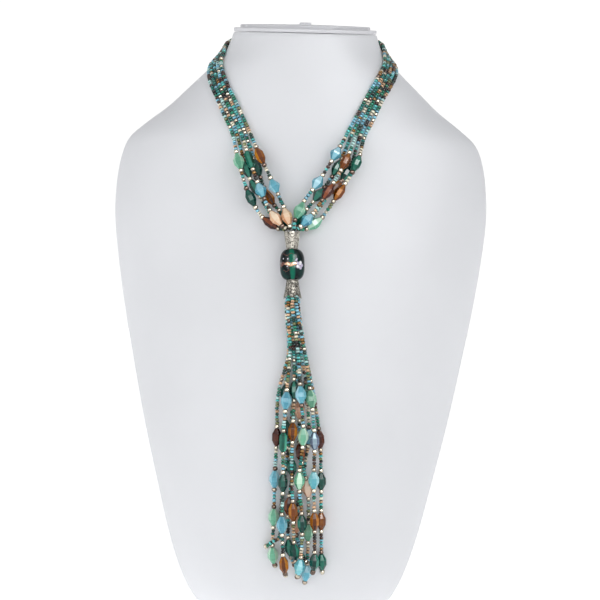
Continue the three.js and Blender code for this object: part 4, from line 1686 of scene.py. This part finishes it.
    def _ornaments(self, shape: Shape, turn: float) -> None:
        """Adds the trails, the flower, its leaf and the dots of one face of the glass bead.

        Args:
            shape: The shape that they join, with brown, gold, white and lilac as materials 2 to 5.
            turn: Angle of the face from the front, in degrees.
        """
        for start, end, along, wave, width, slot in (
                (-88, -36, -0.25, 0.3, 1.5, 2), (-38, 26, -0.5, 0.35, 1.3, 3), (-62, 8, 5.8, 0.7, 0.22, 2),
                (-52, -6, -4.8, 0.5, 0.2, 2)):
            shape.add(*self._trail(turn + start, turn + end, along * MM, wave * MM, width * MM), slot=slot)
        petals = 5
        for k in range(petals):
            a = 2 * math.pi * k / petals
            shape.add(*self._blob(turn + 38 + 13 * math.cos(a), -1.1 * MM + 1.7 * MM * math.sin(a),
                                  (1.25 * MM, 1.25 * MM, 0.6 * MM)), slot=4 if k % 2 else 5)
        shape.add(*self._blob(turn + 38, -0.4 * MM, (1.1 * MM, 1.1 * MM, 0.85 * MM)), slot=4)
        shape.add(*self._blob(turn + 20, 2.2 * MM, (1.3 * MM, 0.7 * MM, 0.45 * MM), 60), slot=5)
        for angle, along in ((-46, 3.2), (-21, 2.9), (-24, -1.9), (-8, -0.2)):
            shape.add(*self._blob(turn + angle, along * MM, (0.5 * MM, 0.5 * MM, 0.35 * MM)), slot=4)

    def _lobed(self, form: ConeForm, angle: float, radius: float, depth: float, share: float) -> Point:
        """Gives a point of a cone whose lobes grow towards its mouth.

        Args:
            form: The cone.
            angle: Angle from the front, in degrees.
            radius: Radius in the middle of a lobe.
            depth: Distance from the foot there.
            share: How far the lobes have grown, 1 at the mouth.

        Returns:
            The point.
        """
        lobe = form.lobe(angle)
        return self.round(angle, radius + form.swell * share * (lobe - 1),
                          form.flip * (self.foot + depth - form.scallop * share * (1 - lobe)))

    def _shell(self, form: ConeForm, profile: Sequence[Tuple[float, float]], shape: Shape) -> None:
        """Adds the wall of a cone, with relief values that leave the edges between the lobes dark.

        Args:
            form: The cone.
            profile: Radius and distance from the foot of each ring, up the outside and back down the inside.
            shape: The shape that it joins.
        """
        sides = 60
        depth = max(z for _, z in profile)
        points, levels = [], []
        for r, z in profile:
            share = (z / depth) ** 2
            for i in range(sides):
                angle = 360 * i / sides
                lobe = form.lobe(angle)
                points.append(self._lobed(form, angle, r, z, share))
                levels.append((0.35 + 0.25 * lobe) * (1 - share * (1 - min(2.2 * lobe, 1.0))))
        shape.add(points, rings_to_faces(len(profile), sides, closed=True), levels=levels)

    def build_cones(self) -> None:
        """Builds the upper cone and the bell cap with their grains."""
        rows = 16
        skin = 0.1 * MM
        hole = 0.8 * MM
        for form in (self.cone, self.bell):
            outer = []
            for k in range(rows):
                t = k / (rows - 1)
                outer.append((form.foot / 2 + (form.mouth / 2 - form.foot / 2) * t ** form.flare - skin,
                              t * form.length))
            inner = [(r - self.wall + skin, max(z, self.wall)) for r, z in outer[::-1]]
            shape = Shape()
            self._shell(form, [(hole, 0.0)] + outer + inner + [(hole, self.wall)], shape)
            self._grains(form, outer, shape)
            ride(shape.build(form.name, [made(form.finish)]), "silver", form.node)

    def _grains(self, form: ConeForm, outer: Sequence[Tuple[float, float]], shape: Shape) -> None:
        """Adds rows of silver grains to a cone, larger ones at its foot and its mouth.

        Args:
            form: The cone.
            outer: Radius and distance from the foot of the outer wall.
            shape: The shape that they join.
        """
        draw = random.Random(form.seed)
        radii = [r for r, _ in outer]
        depths = [z for _, z in outer]
        bare_above = 0.55
        rows = int(form.length / (self.grain * 1.55))
        for row in range(rows + 1):
            z = form.length * row / rows
            r = float(np.interp(z, depths, radii))
            count = int(2 * math.pi * r / (self.grain * 1.85))
            share = (z / form.length) ** 2
            for i in range(count):
                angle = 360 * (i + 0.5 * (row % 2)) / count + draw.uniform(-2, 2)
                if share * (1 - form.lobe(angle)) > bare_above:
                    continue
                bead = self.grain * draw.uniform(0.72, 1.12) * (1.15 if row in (0, rows) else 1.0)
                out = self.outward(angle)
                middle = self._lobed(form, angle, r, z, share) + out * self.grain_lift
                self._grain(shape, middle, out, bead / 2 * 1.25)

    def _grain(self, shape: Shape, middle: Point, out: Point, radius: float) -> None:
        """Adds one grain.

        Args:
            shape: The shape that it joins.
            middle: Middle of the grain.
            out: Direction away from the cone.
            radius: Radius of the grain.
        """
        side = unit(np.cross(self.up, out))
        points, levels = [], []
        for height, width in ((-0.75, 0.66), (0.0, 1.0), (0.62, 0.78), (0.97, 0.25)):
            for i in range(6):
                a = math.pi * i / 3
                points.append(middle + out * (radius * height)
                              + (side * math.cos(a) + self.up * math.sin(a)) * (radius * width))
                levels.append(0.1 if height < 0 else 0.35 + 0.65 * max(height, 0.0))
        shape.add(points, rings_to_faces(4, 6, capped=True), levels=levels)


# Neck strings


class Side(Enum):
    """Sides of the necklace as seen from the front."""

    LEFT = "left"
    RIGHT = "right"


TIERS = ("top", "middle", "low")
Row = Union[Tuple[float, float, float], Tuple[float, float, float, Cut, Glass]]


@dataclass
class NeckSide:
    """The five strings of one side with their large beads. Lane 1 is the outer one."""

    side: Side
    bust: Bust
    pendant: Pendant
    small: SmallBeads
    bundle: Sequence[Tuple[float, float, float]]
    lanes: Sequence[Sequence[Row]]
    entry_turns: Sequence[float] = (90, 126, 54, 162, 18)
    entry_rises: Sequence[float] = (1.3 * MM, 1.2 * MM, 1.2 * MM, 0.8 * MM, 0.8 * MM)
    entry_radius: float = 3.6 * MM
    inside: Tuple[float, float] = (2.75 * MM, 3.6 * MM)
    knot_radius: float = 2.05 * MM
    start_gap: float = 0.2 * MM
    entry_gap: float = 0.6 * MM
    end_gap: float = 0.1 * MM
    seed: int = 100
    clasp_half: float = 3.9 * MM
    clasp_drop: float = 7.6 * MM
    gap: float = 0.8 * MM
    lie: float = 0.5 * MM
    fit: float = 0.3 * MM

    @property
    def sign(self) -> int:
        """Returns -1 on the left and 1 on the right."""
        return -1 if self.side is Side.LEFT else 1

    def starts(self) -> List[List[Point]]:
        """Gives the points of the five lanes behind and beside the neck, seated a little off the bust."""
        sign = self.sign
        lift = self.small.seed_diameter / 2 + self.lie
        behind = math.radians(85)
        back = self.bust.section(self.bust.height - self.clasp_drop)[2]
        first = math.pi - math.asin((self.clasp_half + 2 * self.fit) / (back + lift + self.lie))
        stations = [(first, self.clasp_drop, self.bundle[0][2] * MM)]
        stations += [(math.radians(turn), drop * MM, pitch * MM) for turn, drop, pitch in self.bundle]
        middle = [self.bust.over(turn * sign, drop, lift) for turn, drop, _ in stations]
        lanes = []
        for lane in range(5):
            points = []
            for i, (turn, drop, pitch) in enumerate(stations):
                along = unit(middle[min(i + 1, len(middle) - 1)] - middle[max(i - 1, 0)])
                outward = np.cross(self.bust.normal(turn * sign, self.bust.height - drop), along) * sign
                extra = self.lie if turn > behind else self.lie / 5
                points.append(self.bust.seat(middle[i] + outward * ((2 - lane) * pitch), lift + extra))
            lanes.append(points)
        return lanes

    def build(self) -> None:
        """Builds the strings and the large beads."""
        shapes = {tier: Shape() for tier in TIERS}
        finishes: Dict[str, List[Glass]] = {tier: [] for tier in TIERS}
        nodes: Dict[str, List[str]] = {tier: [] for tier in TIERS}
        for lane, (start, rows) in enumerate(zip(self.starts(), self.lanes)):
            route = self._route(lane, start, rows)
            first = len(start) + 2
            draw = random.Random(self.seed + 10 * self.sign + lane)
            strung = Strung()
            strung.put(route.at(0), route.ahead(0.5 * MM))
            done = self.start_gap
            for number, (tier, (_, _, _, *bead)) in enumerate(zip(TIERS, rows[2:])):
                if not bead:
                    continue
                cut, glass = bead
                middle = route.reach(first + number)
                done = self.small.flank(strung, route, done, middle, cut.value.length / 2, draw)
                if glass not in finishes[tier]:
                    finishes[tier].append(glass)
                slot = finishes[tier].index(glass)
                BEADS.set(shapes[tier], cut, route, middle, self.bust, slot, self.gap)
                nodes[tier].append(f"bead_{self.side.value}_{tier}_{lane + 1}")
            entry = route.reach(first + len(TIERS))
            if entry - done > self.small.seed_length:
                self.small.fill(strung, route, done, entry - self.entry_gap, draw)
            for place in (entry, (entry + route.length) / 2, route.length - self.end_gap):
                strung.put(route.at(place), route.ahead(min(place, route.length - MM)))
            label = f"{self.side.value}_{lane + 1}"
            piece = self.small.piece(strung, f"strung_{label}", 11 * lane + self.sign + 2)
            ride(piece, "seeds", f"string_{label}")
        for tier in TIERS:
            materials = [made(glass.value) for glass in finishes[tier]]
            piece = shapes[tier].build(f"glass_beads_{self.side.value}_{tier}", materials)
            ride(piece, finishes[tier][0].slot(), *nodes[tier])

    def _route(self, lane: int, start: List[Point], rows: Sequence[Row]) -> Route:
        """Makes the route of one string, from the clasp over the chest and down into the upper cone.

        Args:
            lane: Index of the lane, 0 for the outer one.
            start: The lane's points behind and beside the neck.
            rows: Its chosen points over the chest.

        Returns:
            The route.
        """
        turn = self.entry_turns[lane] * self.sign
        top = self.pendant.cone_top
        radius, depth = self.inside
        return Route([
            *start, *(self.bust.over_front(a * MM, d * MM, h * MM) for a, d, h, *_ in rows),
            self.pendant.round(turn, self.entry_radius, top + self.entry_rises[lane]),
            self.pendant.round(turn, radius, top - depth),
            self.pendant.round(turn, self.knot_radius, self.pendant.knot)])


# Tassel


@dataclass
class Strand:
    """One strand of the tassel: where it leaves the bell cap, and its rows of chosen points and beads."""

    number: int
    angle: float
    ring: float
    rows: Sequence[Row]


@dataclass
class Tassel:
    """Ten strands below the bell cap."""

    bust: Bust
    pendant: Pendant
    small: SmallBeads
    strands: Sequence[Strand]
    radius: float = 3.6 * MM
    knot_share: float = 0.6
    spread: float = 1.12
    spread_drop: float = 8.4 * MM
    rim_drop: float = 0.3 * MM
    first_rise: float = 2.2 * MM
    seed: int = 500

    def build(self) -> None:
        """Builds all the strands."""
        for strand in self.strands:
            self._build_strand(strand)

    def _build_strand(self, strand: Strand) -> None:
        """Builds one strand.

        Args:
            strand: The strand.
        """
        radius = self.radius * strand.ring
        rim = self.pendant.bell_rim
        route = Route([
            self.pendant.round(strand.angle, radius * self.knot_share, -self.pendant.knot),
            self.pendant.round(strand.angle, radius, rim - self.rim_drop),
            self.pendant.round(strand.angle, radius * self.spread, rim - self.spread_drop),
            *(self.bust.over_front(a * MM, d * MM, h * MM) for a, d, h, *_ in strand.rows)])
        draw = random.Random(self.seed + strand.number)
        strung, shape, finishes = Strung(), Shape(), []
        strung.put(route.at(0.05 * MM), route.ahead(MM))
        done = route.reach(1) - self.first_rise
        for i, (_, _, _, *bead) in enumerate(strand.rows):
            if not bead:
                continue
            cut, glass = bead
            middle = route.reach(3 + i)
            done = self.small.flank(strung, route, done, middle, cut.value.length / 2, draw)
            if glass not in finishes:
                finishes.append(glass)
            BEADS.set(shape, cut, route, middle, self.bust, finishes.index(glass))
        end = route.length - self.small.ball_diameter / 2
        last = end - self.small.ball_half
        if last - done > 0.6 * self.small.seed_length:
            self.small.fill(strung, route, done, last, draw)
        self.small.ball_at(strung, route, end, draw, self.small.ball_size, MM)
        node = f"tassel_strand_{strand.number}"
        piece = self.small.piece(strung, f"strung_tassel_{strand.number}", 40 + strand.number)
        ride(piece, "strand", node)
        if finishes:
            materials = [made(glass.value) for glass in finishes]
            ride(shape.build(f"glass_beads_tassel_{strand.number}", materials), "strand")


# Clasp


@dataclass
class Clasp:
    """Plain silver clasp behind the neck."""

    bust: Bust
    length: float = 7.8 * MM
    height: float = 14 * MM
    thickness: float = 3.2 * MM
    corner: float = 1.2 * MM
    drop: float = 7.6 * MM
    lie: float = 0.5 * MM

    def build(self) -> None:
        """Builds the clasp's bar with its rounded edges."""
        normal = self.bust.normal(math.pi, self.bust.height - self.drop)
        turn = frame_along(normal, np.array([0.0, 0, 1]))
        place = self.bust.over(math.pi, self.drop, self.lie)
        points, faces = rounded_box((self.length, self.height, self.thickness), self.corner,
                                    (0, 0, self.thickness / 2))
        shape = Shape()
        shape.add([place + turn @ np.array(p) for p in points], faces)
        ride(shape.build("clasp_bar", [made(PLAIN_SILVER)]), "silver", "clasp")


# Studio

# What glass and silver reflect: direction, start and end of the rise in its cosine, and brightness
ROOM_PANELS: Sequence[Tuple[Tuple[float, float, float], float, float, float]] = (
    ((0.0, -1.0, 0.25), -0.1, 0.95, 0.3), ((0.0, 0.0, 1.0), 0.1, 0.9, 0.2),
    ((0.45, -0.8, 0.42), 0.94, 0.965, 14.0), ((-0.62, -0.75, 0.2), 0.965, 0.98, 7.0),
    ((0.06, -1.0, 0.2), 0.985, 0.994, 6.0), ((0.14, -0.8, 0.58), 0.972, 0.986, 4.0),
)


@dataclass
class Studio:
    """Pale floor, soft light and the camera."""

    key_place: Tuple[float, float, float] = (1.2, -1.1, 1.4)
    fill_place: Tuple[float, float, float] = (-1.45, -0.95, 0.9)
    aim: Tuple[float, float, float] = (0, -0.05, 0.22)
    floor_radius: float = 14.0
    distance: float = 1.6
    camera_height: float = 0.212
    camera_side: float = 0.001
    focal_pixels: float = 2353.0
    image: int = 600
    roll: float = math.radians(1.43)

    def build(self) -> None:
        """Builds the floor, the lights, the world and the camera."""
        scene = bpy.context.scene
        scene.view_settings.view_transform = "Standard"
        self._floor()
        self._world(scene)
        self._light("key", self.key_place, size=1.1, power=5.3)
        self._light("fill", self.fill_place, size=1.2, power=5.2)
        camera = bpy.data.cameras.new("camera")
        camera.sensor_width = 36.0
        camera.lens = camera.sensor_width * self.focal_pixels / self.image
        camera.clip_start, camera.clip_end = 0.1, 60.0
        eye = bpy.data.objects.new("camera", camera)
        eye.matrix_world = (Matrix.Translation((self.camera_side, -self.distance, self.camera_height))
                            @ Matrix.Rotation(math.pi / 2, 4, "X") @ Matrix.Rotation(self.roll, 4, "Z"))
        scene.collection.objects.link(eye)
        scene.camera = eye

    def _floor(self) -> None:
        """Builds the round floor just under the bust."""
        shape = Shape()
        sides, radius = 96, self.floor_radius
        points = [(radius * math.cos(2 * math.pi * i / sides), radius * math.sin(2 * math.pi * i / sides), z)
                  for z in (-20 * MM, -0.2 * MM) for i in range(sides)]
        shape.add(points, rings_to_faces(2, sides, capped=True), smooth=False)
        graph = ShaderGraph("pale_floor")
        cloud = graph.noise(3.0, 2.0)
        material = graph.finish({
            "Base Color": graph.mix(cloud, (0.93, 0.93, 0.93), (0.95, 0.95, 0.95)), "Roughness": 0.8,
            "Emission Color": (1.0, 1.0, 1.0), "Emission Strength": 0.55})
        floor = shape.build("floor", [material])

    @staticmethod
    def _world(scene: bpy.types.Scene) -> None:
        """Makes surroundings that light the bust evenly, are mirrored as a room and are seen as white.

        Args:
            scene: The scene.
        """
        soft_power, room_power, seen_power = 0.48, 0.05, 1.05
        world = bpy.data.worlds.new("soft_room")
        world.use_nodes = True
        nodes, links = world.node_tree.nodes, world.node_tree.links
        nodes.clear()
        path, place = nodes.new("ShaderNodeLightPath"), nodes.new("ShaderNodeTexCoord")
        grade = nodes.new("ShaderNodeMath")
        grade.operation = "ADD"
        grade.inputs[0].default_value = room_power
        for direction, start, end, power in ROOM_PANELS:
            facing, level, step = (nodes.new(kind) for kind in (
                "ShaderNodeVectorMath", "ShaderNodeMapRange", "ShaderNodeMath"))
            facing.operation, level.interpolation_type, step.operation = "DOT_PRODUCT", "SMOOTHSTEP", "ADD"
            facing.inputs[1].default_value = Vector(direction).normalized()
            for key, value in (("From Min", start), ("From Max", end), ("To Max", power)):
                level.inputs[key].default_value = value
            links.new(place.outputs["Generated"], facing.inputs[0])
            links.new(facing.outputs["Value"], level.inputs["Value"])
            links.new(grade.outputs[0], step.inputs[0])
            links.new(level.outputs["Result"], step.inputs[1])
            grade = step
        soft, room, seen, inner, outer = (nodes.new(kind) for kind in (
            "ShaderNodeBackground", "ShaderNodeBackground", "ShaderNodeBackground", "ShaderNodeMixShader",
            "ShaderNodeMixShader"))
        soft.inputs["Color"].default_value = (0.97, 0.98, 1.0, 1.0)
        soft.inputs["Strength"].default_value = soft_power
        room.inputs["Color"].default_value = (1.0, 1.0, 1.0, 1.0)
        links.new(grade.outputs[0], room.inputs["Strength"])
        seen.inputs["Color"].default_value = (1.0, 1.0, 1.0, 1.0)
        seen.inputs["Strength"].default_value = seen_power
        output = nodes.new("ShaderNodeOutputWorld")
        for shader, mix, socket in ((soft, inner, 1), (room, inner, 2), (inner, outer, 1), (seen, outer, 2)):
            links.new(shader.outputs[0], mix.inputs[socket])
        links.new(path.outputs["Is Glossy Ray"], inner.inputs["Fac"])
        links.new(path.outputs["Is Camera Ray"], outer.inputs["Fac"])
        links.new(outer.outputs[0], output.inputs["Surface"])
        scene.world = world

    def _light(self, name: str, place: Sequence[float], size: float, power: float) -> None:
        """Adds a square soft light that points at the chest.

        Args:
            name: Name of the light.
            place: Where it stands.
            size: Its width.
            power: Its power in watts.
        """
        lamp = bpy.data.lights.new(name, "AREA")
        lamp.size, lamp.energy = size, power
        thing = bpy.data.objects.new(name, lamp)
        turn = (Vector(self.aim) - Vector(place)).to_track_quat("-Z", "Y")
        thing.matrix_world = Matrix.Translation(Vector(place)) @ turn.to_matrix().to_4x4()
        bpy.context.scene.collection.objects.link(thing)


# Tables of the strings and strands

HEX, BAR, OVAL, ROUND, CASK, LONG, TEAR = (
    Cut.HEX, Cut.BAR, Cut.OVAL, Cut.ROUND, Cut.CASK, Cut.LONG, Cut.TEAR)

# Turn of the five strings from the front in degrees, drop below the neck's top and space a string in mm
BUNDLES: Dict[Side, Sequence[Tuple[float, float, float]]] = {
    Side.LEFT: ((150, 7.8, 2.45), (122, 9.3, 2.5), (97, 12.9, 2.6), (78, 19.8, 2.7), (68, 26.8, 2.7),
                (60, 34.9, 2.7), (53, 44.7, 2.6)),
    Side.RIGHT: ((150, 7.5, 2.45), (122, 8.3, 2.5), (97, 11.3, 2.6), (78, 18.3, 2.7), (65, 26.3, 2.7),
                 (55, 35.7, 2.7), (47.5, 46.3, 2.6)),
}

# A point's place across, below the neck's top and over the bust in mm, and the large bead there
LANES: Dict[Side, Sequence[Sequence[Row]]] = {
    Side.LEFT: (
        ((-52.3, 59.8, 1.8), (-45.7, 73.8, 2.0), (-40.4, 92.9, 9.0, HEX, Glass.MINT),
         (-32.2, 117.3, 8.6, CASK, Glass.PINE), (-19.9, 133.5, 3.8, OVAL, Glass.MAROON)),
        ((-50.0, 58.5, 1.6), (-43.4, 72.7, 1.6), (-35.7, 97.6, 3.8, CASK, Glass.PINE),
         (-30.1, 109.2, 3.9, CASK, Glass.PINE), (-17.7, 128.2, 1.6)),
        ((-47.6, 57.4, 1.8), (-40.9, 71.5, 1.9), (-33.5, 91.6, 8.5, BAR, Glass.EMERALD),
         (-25.7, 112.4, 10.1, ROUND, Glass.BLUE), (-16.3, 130.8, 10.2, HEX, Glass.PEACH)),
        ((-45.3, 56.0, 1.6), (-38.6, 70.3, 1.6), (-28.9, 96.1, 3.7, CASK, Glass.PINE),
         (-21.2, 115.3, 3.6, TEAR, Glass.AMBER), (-9.5, 128.9, 3.8, CASK, Glass.PINE)),
        ((-42.8, 54.8, 1.8), (-36.0, 69.1, 1.9), (-27.0, 89.1, 8.3, OVAL, Glass.AMBER),
         (-17.2, 109.2, 8.4, ROUND, Glass.BLUE), (-8.3, 129.0, 12.0, HEX, Glass.PEACH)),
    ),
    Side.RIGHT: (
        ((46.3, 61.3, 1.8), (40.2, 74.2, 2.0), (35.1, 92.6, 8.5, CASK, Glass.EMERALD),
         (24.3, 112.2, 8.4, OVAL, Glass.AMBER), (9.7, 133.0, 3.8, HEX, Glass.MINT)),
        ((43.9, 60.0, 1.6), (37.8, 73.0, 1.6), (29.8, 98.9, 3.8, CASK, Glass.PINE),
         (21.2, 107.4, 3.8, OVAL, Glass.AMBER), (8.4, 126.7, 1.6)),
        ((41.4, 58.8, 1.8), (35.2, 71.8, 1.9), (27.9, 91.6, 9.0, OVAL, Glass.AMBER),
         (17.0, 112.1, 9.9, CASK, Glass.MAROON), (4.5, 131.2, 10.3, ROUND, Glass.BLUE)),
        ((39.1, 57.6, 1.6), (32.8, 70.6, 1.6), (23.0, 94.9, 3.7, CASK, Glass.PINE),
         (11.4, 113.2, 4.2, ROUND, Glass.PINE), (-0.4, 128.1, 3.8, CASK, Glass.EMERALD)),
        ((36.6, 56.3, 1.8), (30.2, 69.3, 1.9), (21.6, 86.5, 8.3, ROUND, Glass.BLUE),
         (10.4, 106.3, 8.8, ROUND, Glass.BLUE), (-1.5, 124.7, 11.1, LONG, Glass.MINT)),
    ),
}

STRANDS: Sequence[Strand] = (
    Strand(1, -90, 1, (
        (-5.4, 215.3, 4.1), (-11.3, 242.6, 6.1), (-11.6, 270.3, 3.8, OVAL, Glass.MAROON),
        (-12.3, 297.5, 4.0, HEX, Glass.BLUE), (-12.3, 322.3, 3.9, HEX, Glass.MINT),
        (-12.7, 347.6, 3.9, HEX, Glass.MINT), (-10.2, 355.8, 2.8))),
    Strand(2, -45, 1, (
        (-4.6, 215.3, 7.2), (-6.1, 246.4, 11.1, HEX, Glass.BLUE), (-7.3, 272.8, 10.8, BAR, Glass.EMERALD),
        (-6.7, 298.6, 10.8, CASK, Glass.PINE), (-6.7, 325.4, 10.8, HEX, Glass.BLUE),
        (-5.1, 351.5, 10.8, OVAL, Glass.AMBER), (-3.4, 360.1, 8.1))),
    Strand(3, -135, 1, (
        (-4.8, 215.3, 1.6), (-7.2, 241.9, 3.7, CASK, Glass.PINE), (-5.9, 264.4, 5.5, CASK, Glass.PINE),
        (-1.2, 289.7, 3.7, CASK, Glass.PINE), (-3.1, 314.8, 3.9, OVAL, Glass.MAROON),
        (-2.2, 342.2, 3.8, CASK, Glass.PINE), (2.1, 355.3, 2.4))),
    Strand(4, 0, 1, (
        (0.5, 215.3, 8.1), (2.9, 242.4, 12.5, HEX, Glass.BLUE), (5.2, 268.9, 11.1, HEX, Glass.MINT),
        (3.2, 297.0, 10.8, HEX, Glass.MINT), (5.8, 324.3, 11.0, CASK, Glass.PINE),
        (5.1, 352.4, 11.6, HEX, Glass.AQUA), (2.9, 360.7, 8.5))),
    Strand(5, 45, 1, (
        (4.8, 215.2, 7.3), (9.4, 244.9, 10.7, HEX, Glass.SAGE), (12.1, 271.4, 10.8, CASK, Glass.IRIS),
        (12.1, 296.5, 10.8, HEX, Glass.AQUA), (13.1, 322.6, 10.8, OVAL, Glass.AMBER),
        (13.7, 349.2, 11.0, CASK, Glass.PINE), (12.7, 357.8, 8.6))),
    Strand(6, 180, 1, (
        (1.2, 215.1, 1.5), (2.4, 252.5, 3.9, HEX, Glass.CREAM), (3.3, 279.9, 4.4, OVAL, Glass.MAROON),
        (8.9, 303.0, 4.3, HEX, Glass.CREAM), (9.9, 331.8, 3.9, HEX, Glass.SAGE),
        (9.6, 358.8, 3.9, HEX, Glass.BLUE), (8.2, 366.7, 2.4))),
    Strand(7, 90, 1, (
        (5.1, 215.4, 3.5), (11.2, 242.6, 1.8), (15.8, 271.1, 3.8, OVAL, Glass.MAROON),
        (17.2, 298.1, 3.8, CASK, Glass.PINE), (17.9, 324.2, 3.8, OVAL, Glass.AMBER),
        (18.8, 351.3, 3.8, CASK, Glass.EMERALD), (19.8, 359.9, 2.6))),
    Strand(8, -90, 0.347, (
        (-2.2, 215.2, 5.6), (-1.4, 239.6, 7.0, CASK, Glass.PINE), (-1.5, 266.0, 10.8, OVAL, Glass.AMBER),
        (-1.6, 290.6, 8.5), (0.0, 316.9, 10.8, OVAL, Glass.AMBER), (1.4, 343.3, 9.7, CASK, Glass.PINE),
        (4.4, 362.8, 3.0))),
    Strand(9, 90, 0.347, (
        (2.7, 216.1, 5.9), (6.8, 241.4, 4.3, CASK, Glass.PINE), (8.7, 269.5, 4.2, ROUND, Glass.BLUE),
        (6.7, 288.6, 1.5), (1.8, 326.9, 3.9, HEX, Glass.CREAM), (5.9, 344.3, 2.3),
        (9.2, 351.2, 8.3))),
    Strand(10, 135, 1, (
        (0.7, 214.6, 4.1), (-1.8, 248.5, 1.8), (-5.0, 284.9, 1.7),
        (-7.5, 311.3, 2.3), (-8.2, 334.6, 1.7), (-12.8, 337.9, 6.7),
        (-17.6, 342.7, 2.3))),
)


def dress_core_pin() -> None:
    """Gives the wire through the pendant the silver finish."""
    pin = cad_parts["core_pin"]
    pin.data.materials.clear()
    pin.data.materials.append(made(PLAIN_SILVER))


def main() -> None:
    """Builds every piece of the necklace and its bust."""
    logging.basicConfig(level=logging.INFO, format="%(name)s %(message)s")
    Studio().build()
    bust = Bust()
    bust.build()
    bust.build_cap()
    pendant = Pendant(bust)
    pendant.build_bead()
    pendant.build_cones()
    small = SmallBeads()
    for side in Side:
        NeckSide(side, bust, pendant, small, BUNDLES[side], LANES[side]).build()
    Tassel(bust, pendant, small, STRANDS).build()
    small.clear()
    Clasp(bust).build()
    dress_core_pin()


if __name__ == "__main__":
    main()
